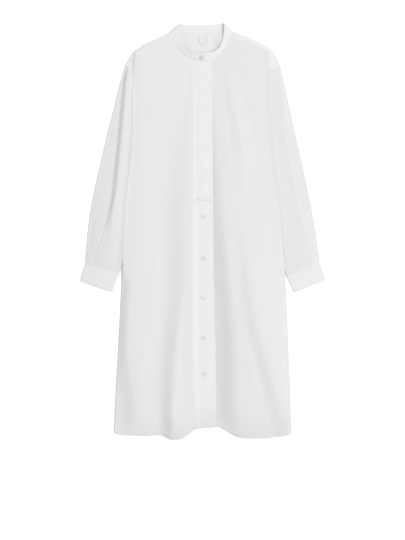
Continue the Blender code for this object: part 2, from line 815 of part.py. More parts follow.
def hole_cutter():
    """Four short round bars in a square, which cut the sewing holes."""
    shape = bmesh.new()
    for turn in range(4):
        angle = pi / 4 + turn * pi / 2
        place = Matrix.Translation(Vector((cos(angle), sin(angle), 0)) * HOLE_RING)
        bmesh.ops.create_cone(shape, cap_ends=True, segments=8, radius1=HOLE_RADIUS, radius2=HOLE_RADIUS,
                              depth=5 * BUTTON_HEIGHT, matrix=place)
    mesh = bpy.data.meshes.new("Sewing holes")
    shape.to_mesh(mesh)
    shape.free()
    cutter = bpy.data.objects.new("Sewing holes", mesh)
    bpy.context.scene.collection.objects.link(cutter)
    cutter.hide_render = True
    cutter.display_type = "WIRE"
    return cutter


def button(name, mesh, place, normal):
    """A button on the cloth, square to it, with its own holes."""
    thing = bpy.data.objects.new(name, mesh)
    bpy.context.scene.collection.objects.link(thing)
    thing.location = place
    thing.rotation_mode = "QUATERNION"
    thing.rotation_quaternion = UP.rotation_difference(normal)
    cutter = hole_cutter()
    cutter.parent = thing
    holes = thing.modifiers.new("Sewing holes", "BOOLEAN")
    holes.object = cutter
    holes.operation = "DIFFERENCE"
    holes.solver = "EXACT"
    return thing


def cloth_normal(x, y):
    step = BUTTON_WIDTH / 2
    slope_x = (front_height(x + step, y, True) - front_height(x - step, y, True)) / (2 * step)
    slope_y = (front_height(x, y + step, True) - front_height(x, y - step, True)) / (2 * step)
    return Vector((-slope_x, -slope_y, 1)).normalized()


def buttons(finish):
    disc = button_mesh()
    disc.materials.append(finish)
    for number, spot in enumerate(BUTTONS, 1):
        x, y = spot.x * MM, spot.y * MM
        on_top = front_height(x, y, True) + 1.5 * CLOTH + GAP
        normal = cloth_normal(x, y)
        place = Vector((x, y, on_top)) + normal * BUTTON_LIFT
        button(f"button_{number}", disc, place, normal)
    # The collar's button sits on the over end of the band, which leans towards the neck.
    lean = Vector(COLLAR_LEAN).normalized()
    place = Vector(COLLAR_BUTTON) * MM + lean * (FIRM / 2 + BUTTON_LIFT)
    button("button_collar", disc, place, lean)


def build():
    clear_scene()
    poplin = (0.82, 0.82, 0.81)
    names = ("back", "yoke", "front", "placket", "collar", "sleeve", "cuff", "loop")
    cloth = {name: material("White cotton, " + name, poplin, 0.85) for name in names}
    pearl = material("Button, pearl white", (0.72, 0.71, 0.69), 0.3)
    back_panel(cloth["back"])
    yoke(cloth["yoke"])
    front("front_under", False, cloth["front"])
    front("front_over", True, cloth["front"])
    plackets(cloth["placket"])
    collar(cloth["collar"])
    for side in ("left", "right"):
        sleeve(side, cloth["sleeve"])
        cuff(side, cloth["cuff"])
    loop(cloth["loop"])
    buttons(pearl)


build()
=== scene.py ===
# %% [markdown]
# # A white shirt dress, laid flat on its back
#
# A plain cotton shirt dress with a small band collar, a front placket that hides its buttons down
# to a stitched bar and shows them below it, long sleeves tucked under the sides of the body, and
# a skirt that widens to a slightly wavy hem. It lies on a white floor and is seen from above.
#
# Metres, +Z up, the collar towards +Y. "Left" and "right" are the viewer's.
# Every piece of cloth is a thin closed shell built from its own outline, in its own sizes. The
# cloth rests at the levels of the fixed frame: back panel and yoke on the floor, the sleeves
# beside them, then the under front, the over front, the placket and the buttons.

from collections import namedtuple
from math import cos, pi, sin, sqrt

import bpy
import numpy as np
from mathutils import Matrix, Vector

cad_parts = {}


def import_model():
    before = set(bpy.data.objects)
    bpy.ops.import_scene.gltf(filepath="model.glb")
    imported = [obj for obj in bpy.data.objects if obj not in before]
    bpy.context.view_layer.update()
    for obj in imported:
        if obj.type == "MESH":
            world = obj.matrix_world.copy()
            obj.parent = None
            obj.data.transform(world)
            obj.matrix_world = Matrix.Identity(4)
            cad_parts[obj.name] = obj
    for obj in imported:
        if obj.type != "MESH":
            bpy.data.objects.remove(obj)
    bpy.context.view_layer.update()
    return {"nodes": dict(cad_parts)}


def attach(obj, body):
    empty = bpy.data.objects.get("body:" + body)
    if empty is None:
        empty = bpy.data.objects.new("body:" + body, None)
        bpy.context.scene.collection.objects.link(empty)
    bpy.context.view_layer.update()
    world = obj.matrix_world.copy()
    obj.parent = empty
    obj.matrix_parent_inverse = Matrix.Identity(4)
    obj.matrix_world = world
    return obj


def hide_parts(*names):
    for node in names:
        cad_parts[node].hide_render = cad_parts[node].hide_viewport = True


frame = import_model()
print("frame:", len(frame["nodes"]), "nodes")

# %% [markdown]
# ## The sizes of the dress
#
# A pattern cutter thinks in lines: two side folds, a placket, a neckline, a hem. They are tables
# of a few points in millimetres, which is how such lines are drafted on paper, and everything
# between the points is read along a smooth curve. The side folds widen towards the hem, and the
# placket leans a little, because this dress was smoothed out by hand and not with a ruler.

# %% Outline, placket, top edges and hem
MM = 0.001


def rows(kind, *values):
    """A table with one entry of the kind for each tuple of values."""
    return tuple(kind(*value) for value in values)


Side = namedtuple("Side", "y left right")
SIDES = rows(
    Side,
    (467, -191, 180.5), (396, -194, 180.5), (305, -194, 184), (236, -196, 191), (167, -203, 198),
    (52, -214, 211.5), (-25, -218.5, 217), (-113, -220.5, 224), (-218, -225, 229.5),
    (-395, -234.5, 236.5), (-465, -238, 239), (-556, -243, 242.5),
)

Strip = namedtuple("Strip", "y stitched free")
PLACKET = rows(
    Strip,
    (467, -28.5, 25), (150, -26, 27), (-190, -25, 30), (-330, -24.5, 34), (-537, -18.5, 36.5),
)

Edge = namedtuple("Edge", "x y")
OVER_TOP = rows(
    Edge,
    (-191, 466), (-184.5, 479), (-162, 491), (-134, 504), (-105, 517), (-86, 526), (-80, 522),
    (-73, 512), (-61, 496), (-46, 482), (-28.5, 473), (-10.7, 469), (7.2, 467.5), (25, 467),
)
UNDER_TOP = OVER_TOP[-4:] + rows(
    Edge,
    (38, 479), (51, 490.5), (62, 505), (66.5, 518), (69, 529), (79, 530.5), (104, 522), (131, 511),
    (157, 500), (177.5, 491), (180.5, 482),
)
HEM = rows(
    Edge,
    (-245, -555.5), (-228, -559.5), (-190, -560.5), (-146, -560), (-118, -558), (-105, -561),
    (-95, -566), (-84, -570), (-69, -570.5), (-55, -567), (-41, -558), (-29, -547), (-18, -540.5),
    (0, -538), (36, -537), (44, -537.5), (60, -545), (82, -557), (106, -565.5), (129, -567.5),
    (175, -567.5), (198, -564), (220, -561), (243, -556),
)
print("hem to shoulder:", SIDES[0].y - SIDES[-1].y, "mm; skirt:", SIDES[-1].right - SIDES[-1].left, "mm")

# %% [markdown]
# ## Reading a table smoothly
#
# Cloth has no corners between two measured points, so the tables are read along cubic curves.
# These are the monotone kind: a curve through the points that never swings past them, so that a
# fold can't wander outside the outline it was drawn in.

# %% Smooth reading
def smooth_read(xs, ys, at):
    """Values at `at` of a smooth curve through the points, which never overshoots them."""
    xs, ys = np.asarray(xs, float), np.asarray(ys, float)
    at = np.clip(at, xs[0], xs[-1])
    step = np.diff(xs)
    slope = np.diff(ys) / step
    tangent = np.concatenate([slope[:1], np.zeros(len(xs) - 2), slope[-1:]])
    same_way = slope[:-1] * slope[1:] > 0
    before, after = slope[:-1][same_way], slope[1:][same_way]
    w1 = (2 * step[1:] + step[:-1])[same_way]
    w2 = (step[1:] + 2 * step[:-1])[same_way]
    inner = np.zeros(len(slope) - 1)
    inner[same_way] = (w1 + w2) / (w1 / before + w2 / after)
    tangent[1:-1] = inner
    i = np.clip(np.searchsorted(xs, at, side="right") - 1, 0, len(xs) - 2)
    h = step[i]
    t = (at - xs[i]) / h
    return (
        ys[i] * (1 + 2 * t) * (1 - t) ** 2
        + h * tangent[i] * t * (1 - t) ** 2
        + ys[i + 1] * t * t * (3 - 2 * t)
        + h * tangent[i + 1] * t * t * (t - 1)
    )


def in_order(table, key, column):
    """Two columns of a table, sorted by the first."""
    return zip(*sorted((getattr(row, key), getattr(row, column)) for row in table))


def read(table, key, at, column):
    """A column of a table in millimetres, at places in metres, in metres."""
    return smooth_read(*in_order(table, key, column), np.asarray(at, float) / MM) * MM


def straight_read(table, key, at, column):
    """The same along straight lines, for edges that do have corners."""
    return np.interp(np.asarray(at, float) / MM, *in_order(table, key, column)) * MM


def ease(t):
    """0 before 0, 1 after 1, and a smooth step between."""
    t = np.clip(t, 0.0, 1.0)
    return t * t * (3 - 2 * t)


def hump(away, width):
    """1 where there is no distance, and almost nothing two widths away."""
    return np.exp(-((away / width) ** 2))


def rounded(from_edge, radius):
    """Share of the full thickness at a distance from a rounded edge."""
    return np.clip(np.sqrt(1 - (1 - np.clip(from_edge / radius, 0, 1)) ** 2), 0.3, 1)


print("side fold half way down:", round(float(read(SIDES, "y", -0.05, "left")) / MM, 1), "mm")

# %% [markdown]
# ## The long folds
#
# The dress has too much width for a flat body, and the spare cloth stands up in long soft folds
# that start near the chest and grow towards the hem. On the left it climbs to the placket, which
# is stiffer than the rest and lies like a board on top of that climb. On the right one fold runs
# from the chest down to the hem, a second joins it from the waist, and a faint one starts at the
# collar. Each is a row of stations along its crest, with the width of its slope on either side,
# so that it can be steep on one side and drawn out on the other. A raised cosine gives the soft
# round back that ironed cotton has.

# %% Long folds
Crest = namedtuple("Crest", "y x rise fall height")
OVER_FOLDS = (
    # along the left side
    rows(
        Crest,
        (470, -168, 24, 100, 1), (300, -168, 24, 120, 1.5), (40, -176, 40, 140, 2),
        (-60, -176, 60, 170, 4), (-160, -176, 90, 190, 7), (-300, -176, 110, 200, 9.5),
        (-420, -168, 100, 200, 10.5), (-500, -166, 90, 200, 11.5), (-575, -160, 92, 200, 12),
    ),
    # the ridge along the stitched edge of the placket
    rows(
        Crest,
        (440, -31, 30, 10, 0), (330, -28.5, 32, 10, 1.3), (150, -27.5, 36, 10, 1.9),
        (-190, -26, 38, 11, 2.3), (-330, -25.5, 40, 11, 2.6), (-480, -21.5, 42, 12, 3.2),
        (-575, -18.5, 44, 13, 4.4),
    ),
)
UNDER_FOLDS = (
    # right of the placket
    rows(
        Crest,
        (400, 44, 26, 60, 0), (305, 44, 28, 90, 2), (195, 50, 32, 150, 4.4), (85, 56, 36, 180, 6),
        (-25, 66, 44, 210, 8), (-135, 82, 56, 230, 10.5), (-245, 94, 62, 240, 12.5),
        (-355, 102, 68, 250, 14), (-465, 104, 69, 250, 14.5), (-575, 108, 72, 250, 15),
    ),
    # across the right hem
    rows(
        Crest,
        (60, 112, 30, 80, 0), (-25, 120, 32, 80, 2), (-135, 134, 38, 90, 4.5),
        (-245, 150, 42, 90, 6.5), (-355, 182, 44, 90, 8), (-465, 212, 48, 90, 9.5),
        (-575, 246, 60, 90, 9),
    ),
    # from the collar's right base
    rows(
        Crest,
        (440, 78, 24, 50, 0), (300, 96, 30, 60, 2), (150, 116, 34, 70, 1.6), (20, 130, 34, 70, 0),
    ),
)
# Left of the placket the cloth climbs once, slowly and then steeply, and stays up as far as the
# placket's free edge.
Climb = namedtuple("Climb", "y x width height")
CLIMB = rows(
    Climb,
    (420, -30, 60, 0), (305, -34, 74, 2), (195, -38, 80, 6.5), (85, -47, 76, 9.5), (-25, -48, 72, 12),
    (-135, -46, 74, 14.5), (-245, -57, 76, 17), (-355, -67, 70, 18.5), (-465, -76, 62, 18.5),
    (-575, -78, 58, 18),
)


def fold_height(crests, x, y):
    """Height of one long fold over the points x, y."""
    crest = read(crests, "y", y, "x")
    width = np.where(x < crest, read(crests, "y", y, "rise"), read(crests, "y", y, "fall"))
    away = np.clip(np.abs(x - crest) / width, 0, 1)
    return read(crests, "y", y, "height") * (1 + np.cos(pi * away)) / 2


CLIMB_LATE = 1.4  # how far the climb puts off its rise towards the top


def climb_height(x, y):
    """Height of the climb to the placket over the points x, y."""
    top = read(CLIMB, "y", y, "x")
    part = np.clip((x - top) / read(CLIMB, "y", y, "width") + 1, 0, 1)
    return read(CLIMB, "y", y, "height") * (1 - np.cos(pi * part**CLIMB_LATE)) / 2


print("the climb to the placket reaches", CLIMB[-1].height, "mm")

# %% [markdown]
# ## Small creases and the hand of the cloth
#
# Poplin keeps every place where it was bent. These creases are short: each runs from one point to
# another, bows a little to one side, fades out at both ends and is a few millimetres wide. A
# positive height is a ridge and a negative one a trough. Under them lies a very shallow, irregular
# unevenness that cotton always has once it has been handled.

# %% Creases and unevenness
Crease = namedtuple("Crease", "x0 y0 x1 y1 bow width height")
Step = namedtuple("Step", "x0 y0 x1 y1 bow sharp reach height")
BODY_CREASES = rows(
    Crease,
    # the soft fan of streaks from the collar's right base
    (62, 430, 118, 120, 10, 9, 0.9), (84, 440, 150, 150, 14, 10, -0.8), (50, 400, 80, 170, 6, 7, -0.7),
    (104, 420, 172, 250, 8, 9, 0.6),
    # a few short ones at the left chest
    (-41, 478, -42, 330, 0, 7, -0.9), (-150, 440, -96, 300, 8, 10, 0.5),
    (-176, 380, -150, 200, 8, 9, -0.5),
    # nicks in the left skirt
    (-74, -188, -62, -204, 1, 2.2, -1.0), (-104, -250, -94, -266, 1, 2.2, -0.9),
    # the bent corner above the right hem
    (168, -536, 200, -498, -3, 3.2, -1.3), (186, -556, 204, -500, 2, 4.5, 0.9),
    (110, -330, 150, -470, 5, 8, 0.7), (-150, -300, -176, -450, -6, 9, 0.8),
    (-120, -60, -140, -220, -6, 10, 0.6), (150, 60, 176, -120, 7, 10, 0.5),
)


def along_and_aside(line, x, y):
    """Share of the way along a line, and the distance to its left, of the points x, y."""
    start = np.array([line.x0, line.y0]) * MM
    way = np.array([line.x1, line.y1]) * MM - start
    length = np.hypot(*way)
    along = ((x - start[0]) * way[0] + (y - start[1]) * way[1]) / length**2
    aside = ((y - start[1]) * way[0] - (x - start[0]) * way[1]) / length
    inside = np.clip(along, 0, 1)
    return inside, aside - 4 * line.bow * MM * inside * (1 - inside)


# How suddenly creases and sharp folds end, and how quickly a fold dies away behind its line.
CREASE_ENDS, STEP_ENDS, STEP_DECAY = 0.8, 0.5, 1.5


def crease_height(crease, x, y):
    """Height of one crease over the points x, y."""
    inside, aside = along_and_aside(crease, x, y)
    fade = np.sin(pi * inside) ** CREASE_ENDS
    return crease.height * MM * fade * hump(aside, crease.width * MM)


def step_height(step, x, y):
    """Height of a sharp fold: left of its line it rises at once and then dies away."""
    inside, aside = along_and_aside(step, x, y)
    fade = np.sin(pi * inside) ** STEP_ENDS
    rise = ease(aside / (step.sharp * MM) + 0.5)
    decay = np.clip(1 - np.clip(aside, 0, None) / (step.reach * MM), 0, 1) ** STEP_DECAY
    return step.height * MM * fade * rise * decay


CELLS, FAR_OFF = 64, 400  # the random pattern repeats after so many cells, and starts far away
BROAD_CELL, BROAD_HIGH = 48 * MM, 0.4 * MM
FINE_CELL, FINE_HIGH = 17 * MM, 0.09 * MM


def unevenness(x, y, cell, seed):
    """Smooth random values from -1 to 1 over the points, with bumps about one cell wide."""
    values = np.random.default_rng(seed).uniform(-1, 1, (CELLS, CELLS))
    u, v = x / cell + FAR_OFF, y / cell + FAR_OFF
    i, j = np.floor(u).astype(int), np.floor(v).astype(int)
    s, t = ease(u - i), ease(v - j)
    i, j, after_i, after_j = i % CELLS, j % CELLS, (i + 1) % CELLS, (j + 1) % CELLS
    low = values[i, j] * (1 - s) + values[after_i, j] * s
    high = values[i, after_j] * (1 - s) + values[after_i, after_j] * s
    return low * (1 - t) + high * t


def handled(x, y, seed):
    """The shallow unevenness of cotton that has been handled, drawn out along the dress."""
    broad = unevenness(x, y * 0.5, BROAD_CELL, seed) * BROAD_HIGH
    fine = unevenness(x + 0.3 * y, y * 0.6, FINE_CELL, seed + 1) * FINE_HIGH
    return broad + fine


print(len(BODY_CREASES), "creases on the body")

# %% [markdown]
# ## How high the front lies
#
# The two fronts are height fields: a level, the long folds, the creases, and a fall to the side
# folds. Beside the sleeves the body's fold lies on the flat sleeve; below the cuffs there is
# nothing under it, and the skirt comes down to the floor within a few centimetres. In the middle
# the under front stays flat and low while the over front climbs to the placket. That leaves a gap
# of up to 19 mm between them in the skirt, where real buttons would hold the two layers together.
# To the right of the placket the under front comes up to about the same level.

# %% Height of the fronts
CLOTH = 0.6 * MM  # what one layer of the poplin looks like
PITCH = 1.5 * MM  # from one layer of the frame to the next
OVER_LEVEL = 8.5 * MM
ROLL = 1.2 * MM  # radius at which a pressed panel folds under
FLOOR_LEVEL = 0.6 * MM
ON_SLEEVE = 9.6 * MM  # the body's side fold where it lies on a sleeve
ON_SLEEVE_LEFT = 9.3 * MM
ON_FLOOR = 3.0 * MM
ON_FLOOR_LEFT = 4.6 * MM
BODY_SEED = 5  # of the random unevenness


def fallen(t, softness):
    """0 before 0, 1 after 1, steepest at 0; the lower the softness, the straighter."""
    t = np.clip(t, 0.0, 1.0)
    return 1 - (1 - t) ** softness


# Where the fronts come down, in millimetres. The first of a pair is a place or a width, the
# second the width of the change there.
UP_TO_LEVEL = (38, 40)  # right of the placket the under front comes up to the over front's level
CALM_ABOVE = (430, 40)  # no creases near the shoulders
NO_SLEEVE_BELOW = (-112, 36)
NEAR_HEM = (-330, 160)
LEFT_FALL, RIGHT_FALL = (26, 30), 10  # the left side's fall, with its gain near the hem
LEFT_REST, RIGHT_REST = 10, 6  # widths that lie on the sleeves
LOW_SHOULDER, LOW_ABOVE = 2.6, (370, 60)  # the left edge lies lower near the shoulder
HEM_FALL, HEM_SHARE = 64, 0.32  # the last hand's width sinks to this share of the height


def past(at, place_and_width):
    """0 up to a place, and 1 from one width after it."""
    place, width = place_and_width
    return ease((at - place * MM) / (width * MM))


def before(at, place_and_width):
    """0 down to a place, and 1 from one width below it."""
    place, width = place_and_width
    return ease((place * MM - at) / (width * MM))


def front_height(x, y, over):
    """The middle of a front's cloth over the points x, y."""
    if over:
        level = OVER_LEVEL + climb_height(x, y)
    else:
        level = OVER_LEVEL - PITCH * (1 - past(x, UP_TO_LEVEL))
    relief = sum(fold_height(crests, x, y) for crests in (OVER_FOLDS if over else UNDER_FOLDS))
    calm = 1 - past(y, CALM_ABOVE)
    relief = relief + calm * sum(crease_height(crease, x, y) for crease in BODY_CREASES)
    relief = relief + calm * handled(x, y, BODY_SEED)
    from_left = x - read(SIDES, "y", y, "left")
    from_right = read(SIDES, "y", y, "right") - x
    # The left side falls over a finger's length, longer and straighter near the hem.
    near_hem = before(y, NEAR_HEM)
    left_fall = fallen(from_left / ((LEFT_FALL[0] + LEFT_FALL[1] * near_hem) * MM), 2 - 0.5 * near_hem)
    right_fall = fallen(from_right / (RIGHT_FALL * MM), 2.4)
    left_rest = 1 - fallen(from_left / (LEFT_REST * MM), 2.0)
    right_rest = 1 - ease(from_right / (RIGHT_REST * MM))
    below_cuffs = before(y, NO_SLEEVE_BELOW)
    on_sleeve = np.maximum(left_rest, right_rest) * (1 - below_cuffs)
    on_floor = (1 - left_fall * right_fall) * below_cuffs
    height = (level + relief) * (1 - on_sleeve - on_floor)
    left_edge = ON_SLEEVE_LEFT - LOW_SHOULDER * MM * past(y, LOW_ABOVE)
    height = height + np.where(x < 0, left_edge, ON_SLEEVE) * on_sleeve
    height = height + np.where(x < 0, ON_FLOOR_LEFT, ON_FLOOR) * on_floor
    from_hem = y - read(HEM, "x", x, "y")
    arched = HEM_SHARE + (1 - HEM_SHARE) * fallen(from_hem / (HEM_FALL * MM), 1.6)
    return ON_FLOOR + (height - ON_FLOOR) * arched


print("placket's bed at the hem:", round(float(front_height(0.01, -0.53, True)) / MM, 1), "mm")

# %% [markdown]
# ## From a grid of points to a piece of cloth
#
# Each piece starts as a grid of points in the middle of its cloth. The shell is the grid moved out
# and in by half a thickness along its normals, closed all round. A second set of coordinates, in
# metres along and across the grain, goes with it, so that the weave follows each piece as it was
# cut: straight in the body, turned in the yoke and leaning in the sleeves.

# %% Shell builder
def unit(v):
    return v / np.maximum(np.linalg.norm(v, axis=-1, keepdims=True), 1e-12)


def grain_of(middle, tube=False):
    """(across, along) of every point in metres, measured on the cloth."""
    across = np.linalg.norm(np.diff(middle, axis=1), axis=2)
    along = np.linalg.norm(np.diff(middle, axis=0), axis=2)
    u = np.concatenate([np.zeros((len(middle), 1)), np.cumsum(across, axis=1)], axis=1)
    v = np.concatenate([np.zeros((1, middle.shape[1])), np.cumsum(along, axis=0)], axis=0)
    if not tube:
        u = u - u[:, -1:] / 2
    return np.stack([u, v], axis=-1)


def shell_parts(middle, thickness, tube=False, out=None):
    """(points, quads, grain) of a closed shell round a grid of middle points."""
    shape = middle.shape[:2]
    along = np.gradient(middle, axis=0)
    if tube:
        across = (np.roll(middle, -1, axis=1) - np.roll(middle, 1, axis=1)) / 2
    else:
        across = np.gradient(middle, axis=1)
    normal = unit(np.cross(along, across))
    if tube:
        away = middle - middle.mean(axis=1, keepdims=True)
        flipped = (normal * away).sum() < 0
    else:
        flipped = normal[..., 2].sum() < 0
    if out is not None:
        flipped = (normal * out).sum() < 0
    if flipped:
        normal = -normal
    half = (np.asarray(thickness, float) * np.ones(shape) / 2)[..., None]
    points = np.concatenate([(middle + way * normal * half).reshape(-1, 3) for way in (1, -1)])
    index = np.arange(shape[0] * shape[1]).reshape(shape)
    below = index.size
    if tube:
        index = np.concatenate([index, index[:, :1]], axis=1)
    top = np.stack([index[:-1, :-1], index[1:, :-1], index[1:, 1:], index[:-1, 1:]], -1).reshape(-1, 4)

    def side(first, second):
        return np.stack([second, first, first + below, second + below], -1)

    sides = [side(index[-1, :-1], index[-1, 1:]), side(index[0, 1:], index[0, :-1])]
    if not tube:
        sides += [side(index[:-1, 0], index[1:, 0]), side(index[1:, -1], index[:-1, -1])]
    quads = np.concatenate([top, top[:, ::-1] + below, *sides])
    grain = grain_of(middle, tube).reshape(-1, 2)
    return points, quads[:, ::-1] if flipped else quads, np.concatenate([grain, grain])


def mesh_object(name, parts, sharp=0.9):
    """One object from one or several (points, faces, grain) parts."""
    points, faces, grain, count = [], [], [], 0
    for some_points, some_faces, some_grain in parts:
        points.append(some_points)
        faces += (some_faces + count).tolist()
        grain.append(some_grain)
        count += len(some_points)
    mesh = bpy.data.meshes.new(name)
    mesh.from_pydata(np.concatenate(points).tolist(), [], faces)
    layer = mesh.uv_layers.new(name="Grain")
    corner = np.empty(len(mesh.loops), int)
    mesh.loops.foreach_get("vertex_index", corner)
    layer.data.foreach_set("uv", np.concatenate(grain)[corner].astype(np.float32).ravel())
    mesh.shade_smooth()
    mesh.set_sharp_from_angle(angle=sharp)
    mesh.validate()
    thing = bpy.data.objects.new(name, mesh)
    bpy.context.scene.collection.objects.link(thing)
    return thing


def subdivided(stations, most):
    """Numbers with more of them in between, none further apart than `most`."""
    result = []
    for low, high in zip(stations, stations[1:]):
        steps = max(1, int(np.ceil(abs(high - low) / most)))
        result += [low + (high - low) * k / steps for k in range(steps)]
    return np.array(result + [stations[-1]])

# %% [markdown]
# ## The two fronts
#
# Each front is one panel from its side fold to the edge of the placket. Its columns run from the
# top edge to the hem like the threads of the warp, closer together at the top than at the hem,
# where the skirt is wider. At the side the cloth is pressed over into a half turn. The last few
# millimetres at the bottom are a turned hem, twice as thick as the rest.

# %% Fronts
Column = namedtuple("Column", "top hem")
OVER_COLUMNS = rows(
    Column,
    (-189.2, -242.8), (-184.5, -232), (-173, -214), (-162, -196), (-148, -178), (-134, -160),
    (-119, -143), (-105, -128), (-86, -116), (-80, -104), (-73, -90), (-61, -77), (-53, -60),
    (-46, -42), (-37, -30), (-28.5, -18.5), (25, 36.5),
)
UNDER_COLUMNS = rows(
    Column,
    (-28.5, -18.5), (25, 36.5), (31, 47), (38, 59), (51, 73), (62, 88), (66.5, 103), (69, 118),
    (79, 134), (91, 149), (104, 164), (118, 180), (131, 196), (144, 211), (157, 224), (177.5, 235),
    (178.7, 241.2),
)
ROWS, COLUMN_PITCH = 300, 3.6  # the pitch in millimetres at the hem
HEM_WIDTH, HEM_STEP = 6 * MM, 1.2 * MM
LAST_EDGE, CUT_SHARE = 0.5 * MM, 0.55  # the very edge is thinner
SHOULDER, SKIRT_FOOT, PLACKET_FOOT = 0.467, -0.556, -0.537
FROM_SIDE, FROM_PLACKET = (100, 80), (26, 40)  # the columns that bend with each, from the middle
FLOOR_TURN, TURNED_BELOW = 1.8 * MM, -140 * MM  # how much the side's turn can open, and where


def bend(table, column, y, top, foot):
    """How far a line lies from the straight one between its two ends."""
    start, end = read(table, "y", top, column), read(table, "y", foot, column)
    down = np.clip((top - y) / (top - foot), 0, 1)
    return read(table, "y", y, column) - (start + (end - start) * down)


def front_grid(over):
    """The middle points of a front, down its columns from the top edge to the hem."""
    table = OVER_COLUMNS if over else UNDER_COLUMNS
    places = subdivided([column.hem for column in table], COLUMN_PITCH)
    # A column's place along the hem is its key, and its top follows from the table.
    top_x = np.interp(places, [c.hem for c in table], [c.top for c in table]) * MM
    hem_x = places * MM
    top_y = straight_read(OVER_TOP if over else UNDER_TOP, "x", top_x, "y")
    hem_y = read(HEM, "x", hem_x, "y")
    down = np.linspace(0, 1, ROWS)[:, None]
    y = top_y + (hem_y - top_y) * down
    x = top_x + (hem_x - top_x) * down
    side = "left" if over else "right"
    near_side = past(np.abs(top_x), FROM_SIDE)
    near_placket = 1 - past(np.abs(top_x), FROM_PLACKET)
    x = x + bend(SIDES, side, y, SHOULDER, SKIRT_FOOT) * near_side
    stitched, free = PLACKET[0].stitched, PLACKET[0].free
    share = np.clip((top_x / MM - stitched) / (free - stitched), 0, 1)
    lean = (1 - share) * bend(PLACKET, "stitched", y, SHOULDER, PLACKET_FOOT)
    lean = lean + share * bend(PLACKET, "free", y, SHOULDER, PLACKET_FOOT)
    x = x + lean * near_placket
    z = front_height(x, y, over)
    return np.stack([x, y, z], axis=-1)


def turned_side(grid, inward):
    """The half turn under at the side fold, from the fold's edge column, in order outwards."""
    edge = grid[:, 0] if inward > 0 else grid[:, -1]
    # Pressed flat on the sleeves, and a softer turn that comes down to the floor below them.
    open_by = np.clip(edge[:, 2:] - ON_FLOOR, 0, FLOOR_TURN) / 2
    radius = ROLL + open_by * (edge[:, 1:2] < TURNED_BELOW)
    turned = []
    for step in range(1, 9):
        angle = step * pi / 8
        aside = np.array([-inward * sin(angle), 0, cos(angle) - 1])
        turned.append(edge + aside * radius)
    return np.stack(turned, axis=1)


def hem_thickness(grid):
    """One layer, and two where the hem is turned up."""
    above = np.cumsum(np.linalg.norm(np.diff(grid[::-1], axis=0), axis=2), axis=0)[::-1]
    above = np.concatenate([above, np.zeros((1, grid.shape[1]))], axis=0)
    turned = 1 - ease((above - HEM_WIDTH) / HEM_STEP + 0.5)
    thinned = np.where(above < LAST_EDGE, CUT_SHARE, 1.0)
    return CLOTH * (1 + turned) * thinned


over_grid = front_grid(True)
grid = np.concatenate([turned_side(over_grid, 1)[:, ::-1], over_grid], axis=1)
front_over = mesh_object("front_over_cloth", [shell_parts(grid, hem_thickness(grid))])
under_grid = front_grid(False)
grid = np.concatenate([under_grid, turned_side(under_grid, -1)], axis=1)
front_under = mesh_object("front_under_cloth", [shell_parts(grid, hem_thickness(grid))])
print("fronts:", over_grid.shape[:2], under_grid.shape[:2], "points")

# %% [markdown]
# ## The sleeves
#
# A sleeve that is laid flat is a tube pressed into two layers with a crease along each side. Here
# the inner crease lies out of sight under the body's side fold, and next to the body the upper
# layer stands up in one long fold: on the left it drops away steeply towards the outside, on the
# right it is a crisp ridge that catches the light. At the wrist the cloth is taken up in a pleat.

# %% Sleeves
Section = namedtuple("Section", "outer_x outer_y inner_x inner_y")
SLEEVES = {
    "left": rows(
        Section,
        (-215.0, 451, -163, 427), (-231.0, 393, -165, 371), (-246.0, 332, -164, 311),
        (-264.0, 261, -167, 239), (-279.0, 195, -176, 172), (-294.5, 129, -185, 105),
        (-307.5, 63, -197, 39), (-316.5, -3, -209, -28), (-321.5, -53, -217.5, -76),
        (-324.1, -92.9, -228.2, -113.6),
    ),
    "right": rows(
        Section,
        (213.0, 452.5, 151, 425), (226.5, 393, 151, 369), (240.5, 327, 153, 303),
        (255.0, 261, 162, 237), (270.5, 195, 171, 168), (284.5, 129, 182, 101), (298.0, 63, 194, 33),
        (309.5, -3, 207.5, -37), (317.0, -53, 218.5, -88), (321.2, -88.1, 230.4, -127.1),
    ),
}
SLEEVE_FOLDS = {
    # The left sleeve has two: the long fold, and a soft rise towards the side of the body.
    "left": (
        rows(
            Crest,
            (470, -203, 14, 34, 5), (430, -207, 15, 34, 7.5), (360, -212, 16, 34, 8),
            (277, -219, 17, 36, 8), (195, -227, 17, 38, 8), (112, -236, 17, 40, 7.5),
            (30, -247, 19, 44, 6), (-53, -256, 34, 50, 2.5), (-110, -266, 40, 50, 1.5),
        ),
        rows(
            Crest,
            (470, -178, 16, 40, 1.5), (380, -182, 18, 40, 4), (277, -185, 22, 40, 5.8),
            (195, -189, 24, 40, 7), (112, -197, 24, 40, 7), (30, -203, 25, 40, 6.8),
            (-53, -208, 28, 40, 6), (-110, -214, 30, 40, 4),
        ),
    ),
    "right": (
        rows(
            Crest,
            (470, 206, 200, 20, 2.0), (420, 210, 200, 26, 2.0), (360, 216, 200, 34, 2.0),
            (258, 224, 200, 46, 2.0), (167, 238, 200, 50, 2.0), (63, 262, 200, 50, 2.0),
            (-20, 280, 200, 44, 2.0), (-110, 292, 200, 36, 1.6),
        ),
    ),
}
SLEEVE_CREASES = {
    "left": rows(
        Crease,
        (-240, 330, -270, 190, -4, 6.0, -0.5), (-292, 60, -318, -60, -4, 9.0, -0.9),
        (-300, 20, -285, -70, 3, 7.0, 0.7),
    ),
    "right": rows(
        Crease,
        (230, -34, 290, -60, 5, 3.4, -0.45), (242, -22, 304, -84, 5, 4.0, 0.4),
        (236, -66, 282, -92, 3, 3.0, -0.4),
    ),
}
